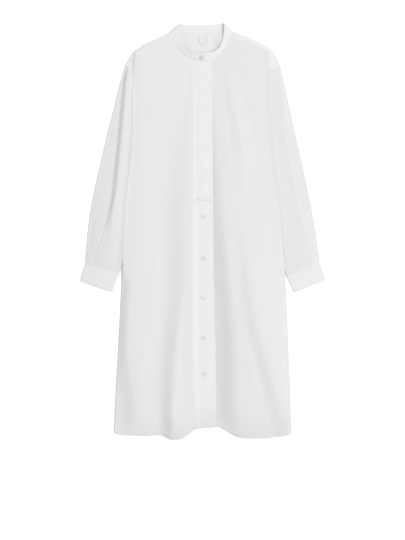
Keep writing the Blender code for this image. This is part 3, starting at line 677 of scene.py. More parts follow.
SLEEVE_STEPS = {
    "left": rows(
        Step,
        (-233, 128, -297, -92, -1, 1.2, 22, 1.7),
    ),
    "right": rows(
        Step,
        (228, 250, 214, 430, -2, 2.6, 20, 1.2), (264, 50, 226, 268, -3, 2.6, 20, 1.3),
        (293, -60, 260, 84, -3, 2.6, 20, 1.1), (305, -90, 299, -30, -1, 2.0, 12, 0.9),
        (230, -62, 262, -96, 0, 1.2, 16, 0.5),
    ),
}
FLAT_TOP = FLOOR_LEVEL + 2 * ROLL
FULLNESS = {"left": 3.5 * MM, "right": 1.2 * MM}  # how full each sleeve lies above the cuff
# From how far under the body's edge, and over what width, the folds of a sleeve rise.
TUCKED = {"left": (-2.3, 3.0), "right": (-1.1, 2.5)}
SLEEVE_SEED = {"left": 11, "right": 23}
ARMHOLE, WRIST, FULL_BELOW, OUTER_CREASE = (454, 28), (-128, 50), (200, 200), (0, 14)
SLEEVE_RINGS, SLEEVE_COLUMNS = 230, 110


def between_edges(table, count):
    """(one edge, other edge, places in mm) of evenly spaced stations along a strip."""
    table = np.array(table, float)
    half = table.shape[1] // 2
    middle = (table[:, :half] + table[:, half:]) / 2
    place = np.concatenate([[0], np.cumsum(np.linalg.norm(np.diff(middle, axis=0), axis=1))])
    at = np.linspace(0, place[-1], count)
    edges = np.stack([smooth_read(place, column, at) for column in table.T], -1) * MM
    return edges[:, :half], edges[:, half:], at


def with_height(place, height):
    """Points x, y with their height, or one height for all."""
    return np.concatenate([place, np.broadcast_to(height, len(place))[:, None]], axis=-1)


def tube_grid(outer, inner, top_height, low, radius, columns, thickness):
    """A flattened tube: rings that run from the inner fold over the top and back underneath."""
    across = unit(outer - inner)
    start = inner + across * (radius + thickness / 2)
    end = outer - across * (radius + thickness / 2)
    over = start + (end - start) * np.linspace(0, 1, columns)[:, None, None]
    high = top_height(over[..., 0], over[..., 1])

    def turn(centre, level, direction, angle):
        middle = (low + level) / 2 - (level - low) / 2 * cos(angle)
        return with_height(centre + direction * across * radius * sin(angle), middle)

    angles = [k * pi / 8 for k in range(1, 8)]
    rings = [turn(start, high[0], -1, angle) for angle in angles]
    rings += [with_height(over[k], high[k]) for k in range(columns)]
    rings += [turn(end, high[-1], 1, angle) for angle in angles[::-1]]
    rings += [with_height(start + (end - start) * share, low) for share in np.linspace(1, 0, 14)]
    return np.stack(rings, axis=1)


def sleeve(side):
    outer, inner, _ = between_edges(SLEEVES[side], SLEEVE_RINGS)
    width = np.linalg.norm(outer - inner, axis=-1)

    def top_height(x, y):
        outside = np.abs(x) - np.abs(read(SIDES, "y", y, side))
        beside_body = past(outside, TUCKED[side])
        here = np.stack([x, y], -1)
        from_outer, from_inner = (np.linalg.norm(here - edge, axis=-1) for edge in (outer, inner))
        at_ends = before(y, ARMHOLE) * past(y, WRIST)
        body = sum(fold_height(crests, x, y) for crests in SLEEVE_FOLDS[side])
        body = body + FULLNESS[side] * before(y, FULL_BELOW) * np.sin(pi * from_inner / width)
        body = body + handled(x, y, SLEEVE_SEED[side])
        creases = sum(crease_height(crease, x, y) for crease in SLEEVE_CREASES[side])
        creases = creases + sum(step_height(step, x, y) for step in SLEEVE_STEPS[side])
        near_outer = past(from_outer, OUTER_CREASE)
        return FLAT_TOP + (body * at_ends + creases) * beside_body * near_outer

    grid = tube_grid(outer, inner, top_height, FLOOR_LEVEL, ROLL, SLEEVE_COLUMNS, CLOTH)
    return mesh_object("sleeve_" + side + "_cloth", [shell_parts(grid, CLOTH, tube=True)])


sleeve_left, sleeve_right = sleeve("left"), sleeve("right")
print("sleeves:", len(sleeve_left.data.polygons), "faces each")

# %% [markdown]
# ## The cuffs
#
# A cuff is two layers with a stiffener between, so it lies flatter and crisper than the sleeve and
# keeps a straight edge. Both are unbuttoned on the far side and pressed flat, a little wider at
# the foot than at the seam, and each has two rows of stitching just below the seam.

# %% Cuffs
Cuff = namedtuple("Cuff", "seam_outer seam_inner foot_inner foot_outer")
CUFFS = {
    "left": Cuff((-323.9, -91.2), (-227.7, -111.8), (-249.8, -168), (-337.6, -137.5)),
    "right": Cuff((320.9, -86.5), (229.9, -125.3), (250.5, -170), (337.6, -133.5)),
}
FIRM = 1.2 * MM
CUFF_ROLL = 1.1 * MM
CUFF_LOW = 0.8 * MM
CUFF_CROWN, CROWN_REACH = 1.4 * MM, 50 * MM  # how much the cuff arches, and how far
CUFF_GROOVE, GROOVE_WIDTH = 0.42 * MM, 0.8 * MM
CUFF_SEED, CUFF_COLUMNS, CUFF_EDGE = 31, 40, 0.45
CUFF_ROWS = (6.5 * MM, 9.0 * MM)
CUFF_CREASES = {
    "left": rows(
        Crease,
        (-280, -106, -247, -146, -3, 3.6, 0.5), (-318, -112, -290, -140, 0, 6, -0.6),
    ),
    "right": rows(
        Crease,
        (252, -128, 296, -152, 3, 5, -0.8), (300, -112, 316, -136, 0, 5, 0.6),
    ),
}


def cuff_corners(side):
    return [np.array(corner) * MM for corner in CUFFS[side]]


def cuff_top(side):
    """Height of the cuff's upper layer over the points x, y."""
    corners = cuff_corners(side)
    centre = sum(corners) / 4
    seam_outer, seam_inner = corners[:2]
    across = unit(seam_outer - seam_inner)
    down = np.array([across[1], -across[0]])
    down = -down if down[1] > 0 else down

    def height(x, y):
        away = np.hypot(x - centre[0], y - centre[1]) / CROWN_REACH
        crown = CUFF_CROWN * np.clip(1 - away**2, 0, 1)
        creases = sum(crease_height(crease, x, y) for crease in CUFF_CREASES[side])
        below_seam = (x - seam_inner[0]) * down[0] + (y - seam_inner[1]) * down[1]
        grooves = sum(CUFF_GROOVE * hump(below_seam - row, GROOVE_WIDTH) for row in CUFF_ROWS)
        uneven = 0.5 * handled(x, y, CUFF_SEED)
        return CUFF_LOW + 2 * CUFF_ROLL + crown + uneven + creases - grooves

    return height


def cuff(side):
    seam_outer, seam_inner, foot_inner, foot_outer = cuff_corners(side)
    part = subdivided([0, 0.02, 1], 0.04)
    part = np.concatenate([part[:-1], [0.985, 1.0]])[:, None]
    outer = seam_outer + (foot_outer - seam_outer) * part
    inner = seam_inner + (foot_inner - seam_inner) * part
    grid = tube_grid(outer, inner, cuff_top(side), CUFF_LOW, CUFF_ROLL, CUFF_COLUMNS, FIRM)
    thick = np.full(grid.shape[:2], FIRM)
    thick[[0, -1]] *= CUFF_EDGE
    return mesh_object("cuff_" + side + "_cloth", [shell_parts(grid, thick, tube=True)])


cuff_left, cuff_right = cuff("left"), cuff("right")
print("cuffs:", len(cuff_left.data.polygons), "faces each")

# %% [markdown]
# ## The back panel
#
# It lies flat on the floor under everything else, and only its edges can be seen from low down.
# Beside the sleeves it ends at their inner crease, and below them it is sewn to the fronts in
# the side folds.

# %% Back panel
def back_edge(y, side):
    """Where the back panel ends: in the side fold, or beside the sleeve's inner crease."""
    fold = np.abs(read(SIDES, "y", y, side)) - ROLL - PITCH
    table = SLEEVES[side]
    sleeve_edge = np.abs(straight_read(table, "inner_y", y, "inner_x")) - 1.5 * MM
    beside_sleeve = y > table[-1].inner_y * MM
    edge = np.where(beside_sleeve, np.minimum(fold, sleeve_edge), fold)
    return -edge if side == "left" else edge


BACK_TOP, BACK_STRAIGHT = 427.7 * MM, -500 * MM  # below the second, the last row follows the hem
back_y = np.concatenate([np.linspace(BACK_TOP, BACK_STRAIGHT, 90), [SKIRT_FOOT]])
left_edge, right_edge = back_edge(back_y, "left"), back_edge(back_y, "right")
back_x = left_edge[:, None] + (right_edge - left_edge)[:, None] * np.linspace(0, 1, 60)
back_grid = np.stack(np.broadcast_arrays(back_x, back_y[:, None], FLOOR_LEVEL), -1)
back_grid[-1, :, 1] = read(HEM, "x", back_grid[-1, :, 0], "y") + 3 * MM
back_panel = mesh_object("back_panel_cloth", [shell_parts(back_grid, CLOTH)])
print("back panel:", back_grid.shape[:2], "points")

# %% [markdown]
# ## The yoke
#
# The back yoke comes forward over both shoulders: its lower layer lies on the floor, folds over
# along the top of each shoulder and ends in a seam on the front, a few centimetres down. Because
# it lies flat across the fold it catches more light than the front below it. Its white is also set
# a shade lighter than the body's, partly for its double cloth and partly as painted light.

# %% Yoke
Line = namedtuple("Line", "seam_x seam_y fold_x fold_y front_x front_y level")
YOKE_SHOULDERS = {
    "left": rows(
        Line,
        (-209, 449, -214.3, 453.5, -208, 448.6, 3.2), (-196, 443.2, -209.5, 463, -197, 443.6, 3.2),
        (-180, 436, -203.5, 473, -184, 438, 3.2), (-163, 428.3, -196.5, 482.5, -183, 470, 4.6),
        (-150, 428.3, -187, 493.5, -184.5, 479.5, 8.5), (-135, 428.3, -163, 510, -162, 491.5, 8.5),
        (-115, 428.3, -134, 523.5, -134, 504.5, 8.5), (-95, 428.3, -106, 537, -105, 517.5, 8.5),
        (-74, 428.3, -86, 546, -80, 524, 8.5),
    ),
    "right": rows(
        Line,
        (207, 451.2, 212.3, 455, 206, 449.6, 3.2), (190, 443.6, 208.5, 464.5, 191.5, 443.6, 3.2),
        (172, 435.7, 203.5, 474.5, 175, 433.6, 3.2), (154, 428.3, 197, 487, 174, 474, 4.6),
        (142, 428.3, 187, 499.5, 177.5, 491.5, 8.5), (128, 428.3, 163, 512.5, 157, 500.5, 8.5),
        (108, 428.3, 134, 526, 131, 511.5, 8.5), (88, 428.3, 105, 538, 104, 522.5, 8.5),
        (66, 428.3, 76, 551, 71, 530, 8.5),
    ),
}
BACK_NECK = 545 * MM
SEAM_LAP, ON_FRONT = 1.6 * MM, 0.65 * MM  # how far the yoke laps over a front, and above it


def yoke_lines(side):
    """The side's lines across the yoke, many of them, as arrays in metres."""
    table = np.array(YOKE_SHOULDERS[side])
    place = np.concatenate([[0], np.cumsum(np.hypot(*np.diff(table[:, 2:4], axis=0).T))])
    at = np.linspace(0, place[-1], 60)
    return np.stack([np.interp(at, place, table[:, k]) for k in range(7)], -1) * MM


def shoulder_grid(side):
    """From the yoke's lower seam, flat out to the fold, round it and back to the front seam."""
    lines = yoke_lines(side)
    seam, fold, end, level = lines[:, :2], lines[:, 2:4], lines[:, 4:6], lines[:, 6]
    radius = (level - FLOOR_LEVEL) / 2
    across = unit(seam - fold)
    turn = fold + across * (radius + CLOTH / 2)[:, None]
    columns = [with_height(seam + (turn - seam) * part, FLOOR_LEVEL) for part in np.linspace(0, 1, 9)[:-1]]
    for angle in np.linspace(0, pi, 13):
        height = FLOOR_LEVEL + radius * (1 - cos(angle))
        columns.append(with_height(turn - across * (radius * sin(angle))[:, None], height))
    over_seam = end + unit(end - turn) * SEAM_LAP
    for part in np.linspace(0, 1, 13)[1:]:
        height = level + ON_FRONT * float(ease(part * 2))
        columns.append(with_height(turn + (over_seam - turn) * part, height))
    return np.stack(columns, axis=1), turn[-1], seam[-1]


left_shoulder, left_turn, left_seam = shoulder_grid("left")
right_shoulder, right_turn, right_seam = shoulder_grid("right")
share = np.linspace(0, 1, 40)[None, :]
down = np.linspace(0, 1, 20)[:, None]
seam_x = left_seam[0] + (right_seam[0] - left_seam[0]) * share
neck_x = left_turn[0] + (right_turn[0] - left_turn[0]) * share
neck_y = np.interp(neck_x, [left_turn[0], -60 * MM, 45 * MM, right_turn[0]],
                   [left_turn[1], BACK_NECK, BACK_NECK, right_turn[1]])
neck_grid = np.stack([
    seam_x + (neck_x - seam_x) * (1 - down),
    left_seam[1] + (neck_y - left_seam[1]) * (1 - down),
    np.full((20, 40), FLOOR_LEVEL),
], -1)
# Inside the neck it curves up towards the right-hand side, where the collar holds it.
HELD_UP, NECK_SIDE, NECK_BACK = 7.0 * MM, (26, 32), (526, 26)
held_up = past(neck_grid[..., 0], NECK_SIDE) * (1 - past(neck_grid[..., 1], NECK_BACK))
neck_grid[..., 2] += HELD_UP * held_up
outwards = np.zeros_like(left_shoulder)
outwards[:, :8, 2] = -1
yoke_parts = [
    shell_parts(left_shoulder, CLOTH, out=outwards),
    shell_parts(right_shoulder, CLOTH, out=outwards),
    shell_parts(neck_grid, CLOTH),
]
back_yoke = mesh_object("back_yoke_cloth", yoke_parts)
print("yoke:", len(back_yoke.data.polygons), "faces")

# %% [markdown]
# ## The placket
#
# A strip of double cloth on the over front. Down to the bar it is a third layer that conceals the
# buttonholes, and from the bar down it is a plain button strip. Its left edge is stitched down and
# its right edge is a pressed fold with a row of stitching just inside it, which draws the cloth up
# into faint puckers.

# %% Placket
BAR = 85.0 * MM
BarLine = namedtuple("BarLine", "y depth bends")
BAR_LINES = (BarLine(90.0 * MM, 1.1 * MM, -1), BarLine(80.4 * MM, 2.4 * MM, 1))
BAR_SWELL = 1.1 * MM
STRIP_WIDTH = 54.0  # in millimetres, to space the columns
ROW_PITCH, NEAR_BAR = 2.6 * MM, 12 * MM


def placket_x(y, share):
    left, right = read(PLACKET, "y", y, "stitched"), read(PLACKET, "y", y, "free")
    return left + (right - left) * share


def placket_layers(y):
    """Thickness of the strip: three layers above the bar and two below it."""
    return MM + 0.3 * MM * ease((np.asarray(y) - BAR) / (12 * MM) + 0.5)


Pucker = namedtuple("Pucker", "edge cell seed reach height")
PUCKERS = (
    Pucker("free", 7 * MM, 41, 9 * MM, 0.28 * MM),
    Pucker("stitched", 8 * MM, 43, 7 * MM, 0.2 * MM),
)
FREE_ROW, ROW_DEPTH, ROW_WIDTH = 2.6 * MM, 0.28 * MM, 0.9 * MM
BAR_INSET, BAR_BEND = 3, 1.8 * MM
LINE_WIDTH, SWELL_WIDTH = 1.15 * MM, 2.8 * MM
FLUSH = 0.1


def placket_relief(x, y):
    """Puckers beside the two rows of stitching, and the grooves of the stitching itself."""
    from_left = x - read(PLACKET, "y", y, "stitched")
    from_right = read(PLACKET, "y", y, "free") - x
    relief = 0
    for pucker in PUCKERS:
        away = from_right if pucker.edge == "free" else from_left
        drawn = unevenness(x * 0.3, y, pucker.cell, pucker.seed)
        relief = relief + drawn * hump(away, pucker.reach) * pucker.height
    relief = relief - ROW_DEPTH * hump(from_right - FREE_ROW, ROW_WIDTH)
    inside = past(from_left, (BAR_INSET, 2)) * past(from_right, (BAR_INSET, 2))
    # The bar's two lines bend towards each other at their ends.
    end = BAR_BEND * (1 - past(np.minimum(from_left, from_right), (BAR_INSET, 7)))
    for line in BAR_LINES:
        relief = relief - line.depth * hump(y - line.y - line.bends * end, LINE_WIDTH) * inside
    return relief + BAR_SWELL * hump(y - BAR, SWELL_WIDTH) * inside


def placket_top(x, y):
    """The upper surface of the placket over the points x, y."""
    # Its stitched edge is drawn down flush with the front.
    flush = FLUSH + (1 - FLUSH) * past(x - read(PLACKET, "y", y, "stitched"), (0, 28))
    return front_height(x, y, True) + CLOTH / 2 + placket_layers(y) * flush + placket_relief(x, y)


def placket(name, top, foot):
    """One length of the strip. top and foot are its ends, or None for the neckline and the hem."""
    edge = [0, 0.12, 0.3, 0.6, 1.0]
    across = edge + list(np.linspace(2, STRIP_WIDTH - 2, 26)) + [STRIP_WIDTH - d for d in edge[::-1]]
    share = np.array(across) / STRIP_WIDTH
    neckline = straight_read(OVER_TOP, "x", placket_x(SHOULDER, share), "y") - 0.3 * MM
    high = neckline if top is None else np.full(len(share), top)
    low = np.full(len(share), PLACKET_FOOT if foot is None else foot)
    length = high.mean() - low.mean()
    # The rows lie closer together beside the bar.
    far_share = 1 - NEAR_BAR / length
    far = np.linspace(0, far_share, int(length / ROW_PITCH))[:-1]
    down = np.concatenate([far, np.linspace(far_share, 1, 36)])[:, None]
    down = down if top is None else 1 - down[::-1]
    y = high + (low - high) * down
    x = placket_x(y, share)
    layers = placket_layers(y)
    z = placket_top(x, y) - layers / 2
    thickness = layers * rounded(np.minimum(share, 1 - share) * STRIP_WIDTH * MM, 0.6 * MM)
    return mesh_object(name, [shell_parts(np.stack([x, y, z], -1), thickness)])


placket_upper = placket("placket_upper_cloth", None, BAR)
placket_lower = placket("placket_lower_cloth", BAR - 0.05 * MM, None)
print("placket:", len(placket_upper.data.polygons) + len(placket_lower.data.polygons), "faces")

# %% [markdown]
# ## The collar band
#
# A band collar is a stiffened strip, sewn to the neckline by its lower edge. Fastened and laid on
# its back it makes a flattened ring: the front half leans back towards the neck and its edge
# stands a little proud, the back half lies flat on the yoke, and the two meet in tight bends at
# the sides of the neck. The over end laps across the middle, with its corner rounded.

# %% Collar
Band = namedtuple("Band", "seam_x seam_y seam_z top_x top_y top_z")
COLLAR = rows(
    Band,
    (25, 467, 9.2, 27.0, 490, 15.0), (7.2, 467.5, 10.2, 8, 487.6, 17),
    (-10.7, 469, 9.8, -10, 487.4, 17), (-28.5, 473, 9.2, -25, 490, 16.5),
    (-46, 482, 8.8, -38, 498, 15.5), (-61, 496, 8.6, -47, 511.5, 14), (-73, 512, 8.5, -52.5, 529, 12),
    (-80, 522, 8.5, -55.5, 541, 10.5), (-86, 534, 8.2, -59, 555, 9), (-90.5, 541, 7.0, -61, 565, 7.2),
    (-92, 543.5, 4.8, -62, 568, 4.8), (-88, 542, 2.8, -58, 568, 2.8), (-70, 541, 1.8, -47, 566, 1.8),
    (-36, 541, 1.2, -27, 565, 1.4), (-5, 541, 1.1, -5, 565, 1.4), (26, 541, 1.2, 22, 566, 1.4),
    (60, 541.5, 1.8, 42, 568.5, 1.8), (77, 545, 2.8, 53, 570, 2.8), (80, 549, 4.8, 57, 570, 4.8),
    (79.5, 545, 7.0, 56.5, 568, 7.6), (76, 538, 8.2, 56.5, 556, 8.4), (69, 529, 8.5, 55.5, 538, 9),
    (66.5, 518, 8.5, 52.5, 522, 9.6), (62, 505, 8.4, 47.5, 508.5, 10.6),
    (51, 490.5, 8.0, 38.5, 497, 11.8), (38, 479, 7.2, 28, 491.5, 12.8),
    (26, 468.8, 6.8, 19.5, 488.5, 13.4), (7.2, 467.5, 6.2, 8, 487.6, 13.0),
    (-10.7, 469, 6.0, -10, 487.4, 13.0),
)
BAND_THICK, BAND_HIGH, BAND_ENDS = 1.3 * MM, 22 * MM, 0.4
OFF_FLOOR = (2, 5)  # the heights at which the band passes from the back to the front half
SOFT_FOOT = 3.5  # how much softer its lower edge is than its upper one
INSIDE_NECK = np.array([-5, 525, 12]) * MM
FOOT_ASIDE = 1.1  # millimetres from the neckline to the band's lower edge
FOOT_LIFT, LIFTED_ABOVE = 0.45 * MM, 8.4 * MM
END_ROUND, END_DROP = 9, 0.36  # the over end's cut corner: its length in mm, its share of the height
TURN_UP = 0.9
BULGE = 0.7 * MM
Waver = namedtuple("Waver", "across cell seed height")
EDGE_WAVER, WIDE_WAVER, PULLED = rows(Waver, (12, 13, 57, 0.5), (5, 30, 59, 0.5), (3, 5, 61, 0.22))


def collar_grid():
    """(middle points, share of the height) from the over end round the back to the under end."""
    seam, top, at = between_edges(COLLAR, 330)
    level_way = top - seam
    level_way[:, 2] = 0
    # On the front half the band's lower edge lies over the neckline's, and on the back beside it.
    in_front = past(seam[:, 2], OFF_FLOOR)[:, None]
    foot = seam + unit(level_way) * (FOOT_ASIDE - 2 * FOOT_ASIDE * in_front) * MM
    foot[:, 2] += FOOT_LIFT * in_front[:, 0] * (seam[:, 2] > LIFTED_ABOVE)
    share = np.array([0, 0.01, 0.03] + list(np.linspace(0.06, 0.94, 20)) + [0.965, 0.985, 0.995, 1.0])
    # The over end's top corner is cut round, and the front half turns up towards its top edge.
    from_end = np.clip((at - at[0]) / END_ROUND, 0, 1)
    drop = (1 - np.sqrt(1 - (1 - from_end) ** 2)) * END_DROP
    part = share[None, :] * (1 - drop[:, None])
    grid = foot[:, None] + (top - foot)[:, None] * part[..., None]
    turned_up = part ** (1 + TURN_UP * in_front)
    grid[..., 2] = foot[:, None, 2] + (top - foot)[:, None, 2] * turned_up
    return grid, share, at


def relaxed_collar(grid, share, at):
    """The band bulges between its two edges, and its upper edge wavers slightly."""
    along, across = np.gradient(grid, axis=0), np.gradient(grid, axis=1)
    normal = unit(np.cross(across, along))

    def wavering(kind):
        across = share[None, :] * kind.across * MM
        return unevenness(at[:, None] * MM, across, kind.cell * MM, kind.seed) * kind.height * MM

    inner = np.sin(pi * share)[None, :] * BULGE + wavering(PULLED)
    upper = (wavering(EDGE_WAVER) + wavering(WIDE_WAVER)) * share[None, :]
    return grid + normal * (inner + upper)[..., None]


grid, collar_share, at = collar_grid()
collar_mid = relaxed_collar(grid, collar_share, at)
at_back = 1 - past(collar_mid[:, :1, 2], OFF_FLOOR)
from_top = (1 - collar_share[None, :]) * BAND_HIGH
from_foot = collar_share[None, :] * BAND_HIGH / (SOFT_FOOT + SOFT_FOOT * at_back)
thickness = BAND_THICK * rounded(np.minimum(from_top, from_foot), 0.65 * MM)
thickness[[0, -1]] *= BAND_ENDS
collar_shell = shell_parts(collar_mid, thickness, out=collar_mid - INSIDE_NECK)
collar = mesh_object("collar_cloth", [collar_shell])
print("collar:", collar_mid.shape[:2], "points")

# %% [markdown]
# ## The hanger loop
#
# A narrow plain tape, caught at both ends in the back neck seam and lying in a U on the yoke.

# %% Hanger loop
def loop_grid():
    half_width, tape, top, turn = 10 * MM, 4.5 * MM, 537 * MM, 522 * MM
    down = np.linspace(top, turn, 8)[:-1]
    arc = np.linspace(0, pi, 25)
    x = np.concatenate([np.full(7, -half_width), -half_width * np.cos(arc), np.full(7, half_width)])
    y = np.concatenate([down, turn - half_width * np.sin(arc), down[::-1]])
    toward = unit(np.stack([x, np.minimum(y - turn, 0)], -1))
    share = np.linspace(-0.5, 0.5, 7)
    place = np.stack([x, y], -1)[:, None] + toward[:, None] * tape * share[None, :, None]
    lift = 1.5 * MM + 0.3 * MM * ease((top - y) / (30 * MM))
    return np.concatenate([place, lift[:, None, None] * np.ones((1, 7, 1))], -1)


loop = mesh_object("hanger_loop_tape", [shell_parts(loop_grid(), 0.6 * MM)])
print("loop:", len(loop.data.polygons), "faces")

# %% [markdown]
# ## The buttons
#
# Small four-hole shirt buttons of pearl, eleven millimetres across, with a raised rim and a dished
# face. Each is turned from one profile and drilled, then sewn on with two bars of thread over a
# short shank, so it sits just off the cloth and its rim throws a thin shadow.

# %% Buttons
BUTTON_WIDTH, BUTTON_HEIGHT = 11 * MM, 2.4 * MM
BUTTONS = (Edge(1.8, 39), Edge(2.6, -74.5), Edge(2.4, -183), Edge(3.2, -292), Edge(4.6, -392))
HOLE_RING, HOLE = 1.6 * MM, 0.75 * MM
PROFILE = (
    (0, 0), (0.5, 0), (0.8, 0.02), (0.93, 0.14), (1, 0.36), (1, 0.7), (0.975, 0.86), (0.92, 0.97),
    (0.85, 1), (0.78, 0.98), (0.7, 0.8), (0.62, 0.7), (0.4, 0.66), (0, 0.66),
)
DISC_STEPS, HOLE_STEPS = 56, 14
DRILLED = (-3 * MM, 5 * MM)  # from below the disc to above it


def circle(radius, z, steps, centre=(0, 0)):
    """Points round a circle."""
    angles = [2 * pi * k / steps for k in range(steps)]
    return [(centre[0] + radius * cos(a), centre[1] + radius * sin(a), z) for a in angles]


def wall(low, high, steps):
    """Faces between two circles, from the numbers of their first points."""
    turns = [(k, (k + 1) % steps) for k in range(steps)]
    return [(low + k, low + n, high + n, high + k) for k, n in turns]


def new_mesh_object(name, points, faces):
    mesh = bpy.data.meshes.new(name)
    mesh.from_pydata(points, [], faces)
    thing = bpy.data.objects.new(name, mesh)
    bpy.context.scene.collection.objects.link(thing)
    return thing


def turned_disc():
    """The disc, turned from its profile."""
    points, faces = [(0, 0, 0)], []
    for r, z in PROFILE[1:-1]:
        points += circle(r * BUTTON_WIDTH / 2, z * BUTTON_HEIGHT, DISC_STEPS)
    points.append((0, 0, PROFILE[-1][1] * BUTTON_HEIGHT))
    last = len(points) - 1
    *rings, top = range(1, last, DISC_STEPS)
    for k in range(DISC_STEPS):
        n = (k + 1) % DISC_STEPS
        faces.append((0, 1 + n, 1 + k))
        faces += [(low + k, low + n, low + n + DISC_STEPS, low + k + DISC_STEPS) for low in rings]
        faces.append((top + k, top + n, last))
    return new_mesh_object("Button disc", points, faces)


def drill_bits():
    """Four rods where the holes go."""
    points, faces = [], []
    for angle in (pi / 4, 3 * pi / 4, 5 * pi / 4, 7 * pi / 4):
        centre = (HOLE_RING * cos(angle), HOLE_RING * sin(angle))
        low = len(points)
        high = low + HOLE_STEPS
        for z in DRILLED:
            points += circle(HOLE, z, HOLE_STEPS, centre)
        faces += [range(high - 1, low - 1, -1), range(high, high + HOLE_STEPS)]
        faces += wall(low, high, HOLE_STEPS)
    return new_mesh_object("Button holes", points, faces)


def button_mesh():
    """The disc with its four holes, as one mesh that all the buttons share."""
    disc, cutter = turned_disc(), drill_bits()
    drill = disc.modifiers.new("Holes", "BOOLEAN")
    drill.object = cutter
    drill.operation = "DIFFERENCE"
    drill.solver = "EXACT"
    bpy.context.view_layer.update()
    drilled = bpy.data.meshes.new_from_object(disc.evaluated_get(bpy.context.evaluated_depsgraph_get()))
    drilled.name = "Shirt button"
    drilled.shade_smooth()
    drilled.set_sharp_from_angle(angle=0.7)
    for thing in (disc, cutter):
        bpy.data.objects.remove(thing, do_unlink=True)
    return drilled


def front_normal(x, y):
    step = 6 * MM
    slope_x = (front_height(x + step, y, True) - front_height(x - step, y, True)) / (2 * step)
    slope_y = (front_height(x, y + step, True) - front_height(x, y - step, True)) / (2 * step)
    return Vector((-float(slope_x), -float(slope_y), 1)).normalized()


def place_of(where, normal, spin):
    """The matrix of a button on the cloth, square to it and turned by `spin`."""
    turn = Vector((0, 0, 1)).rotation_difference(normal).to_matrix().to_4x4()
    return Matrix.Translation(where) @ turn @ Matrix.Rotation(spin, 4, "Z")


button_disc = button_mesh()
SPINS = (0.3, 1.0, -0.4, 0.7, 0.1)
places = {}
for number, (spot, spin) in enumerate(zip(BUTTONS, SPINS), 1):
    x, y = spot.x * MM, spot.y * MM
    normal = front_normal(x, y)
    top = float(placket_top(np.array(x), np.array(y)))
    places[f"button_{number}"] = place_of(Vector((x, y, top)) + normal * 0.9 * MM, normal, spin)
lean = Vector((0, -7, 19)).normalized()
places["button_collar"] = place_of(Vector((-2.6, 475.2, 12.6)) * MM + lean * 1.9 * MM, lean, 0.5)
buttons = {}
for name, matrix in places.items():
    thing = bpy.data.objects.new(name + "_pearl", button_disc)
    bpy.context.scene.collection.objects.link(thing)
    thing.matrix_world = matrix
    buttons[name] = thing
print("buttons:", len(buttons), "of", len(button_disc.polygons), "faces")

# %% [markdown]
# ## The stitching
#
# Every seam and edge is held by a row of small lockstitches in white thread, about three
# millimetres long. At arm's length they only show as a fine line, but they are what says that a
# seam is sewn. Each stitch is a short spindle, slightly thicker in its middle and sunk at its
# ends, and all the stitches of one piece are one mesh.

# %% Stitch builder
STITCH_PITCH, STITCH_LONG, STITCH_THICK = 3.0 * MM, 2.3 * MM, 0.42 * MM
UP = np.array([0, 0, 1.0])
SPINDLE = ((-0.5, 0.25), (-0.3, 0.9), (0.3, 0.9), (0.5, 0.25))  # place along it, share of its thickness


def resampled(path, pitch):
    """(points, directions) at even distances along a polyline."""
    lengths = np.linalg.norm(np.diff(path, axis=0), axis=1)
    place = np.concatenate([[0], np.cumsum(lengths)])
    at = np.arange(pitch / 2, place[-1], pitch)
    points, behind, ahead = (
        np.stack([np.interp(at + shift, place, column) for column in path.T], -1)
        for shift in (0, -pitch / 3, pitch / 3)
    )
    return points, unit(ahead - behind)


def spindles(points, directions, normal, long, thick, sides=5):
    """(points, faces, grain) of one short spindle at each point."""
    aside = unit(np.cross(normal * np.ones_like(points), directions))
    upward = unit(np.cross(directions, aside))
    rings = []
    for along, share in SPINDLE:
        for k in range(sides):
            angle = 2 * pi * k / sides
            offset = aside * cos(angle) + upward * sin(angle) * 0.8
            rings.append(points + directions * long * along + offset * thick * share / 2)
    one = []
    for low in range(0, sides * (len(SPINDLE) - 1), sides):
        one += wall(low, low + sides, sides)
    firsts = np.arange(len(points)) * len(rings)
    quads = (np.array(one)[None] + firsts[:, None, None]).reshape(-1, 4)
    flat = np.stack(rings, axis=1).reshape(-1, 3)
    return flat, quads, flat[:, :2].copy()


def stitch_object(name, paths):
    """All the rows of stitches of one piece as one mesh."""
    parts = []
    for path in paths:
        points, directions = resampled(path, STITCH_PITCH)
        parts.append(spindles(points, directions, UP, STITCH_LONG, STITCH_THICK))
    return mesh_object(name, parts, sharp=3.0)


def over_surface(x, y, height, lift=0.1 * MM):
    return np.stack([x, y, height(x, y) + lift], -1)


# %% Stitching of the placket
LEFT_ROW, RIGHT_ROW = ("stitched", 2.2 * MM), ("free", -FREE_ROW)  # an edge, and how far from it


def placket_row(start, end, edge, inset):
    """A row down the placket, a fixed distance inside one of its edges."""
    y = np.linspace(start, end, 260)
    return over_surface(read(PLACKET, "y", y, edge) + inset, y, placket_top)


def bar_row(line):
    share = np.linspace(0.075, 0.935, 40)
    # The ends of the two rows turn towards each other.
    bow = 2.2 * MM * (1 - np.clip(np.minimum(share - 0.075, 0.935 - share) / 0.06, 0, 1)) ** 2
    y = line.y + line.bends * bow
    return over_surface(placket_x(y, share), y, placket_top)


ABOVE_BAR, BELOW_BAR, ABOVE_FOOT = BAR + MM, BAR - MM, PLACKET_FOOT + MM
upper_stitches = stitch_object("placket_upper_stitches", [
    placket_row(466 * MM, ABOVE_BAR, *LEFT_ROW),
    placket_row(464 * MM, ABOVE_BAR, *RIGHT_ROW),
    bar_row(BAR_LINES[0]),
])
lower_stitches = stitch_object("placket_lower_stitches", [
    placket_row(BELOW_BAR, ABOVE_FOOT, *LEFT_ROW),
    placket_row(BELOW_BAR, ABOVE_FOOT, *RIGHT_ROW),
    bar_row(BAR_LINES[1]),
])
print("placket stitches:", len(upper_stitches.data.polygons) + len(lower_stitches.data.polygons), "faces")

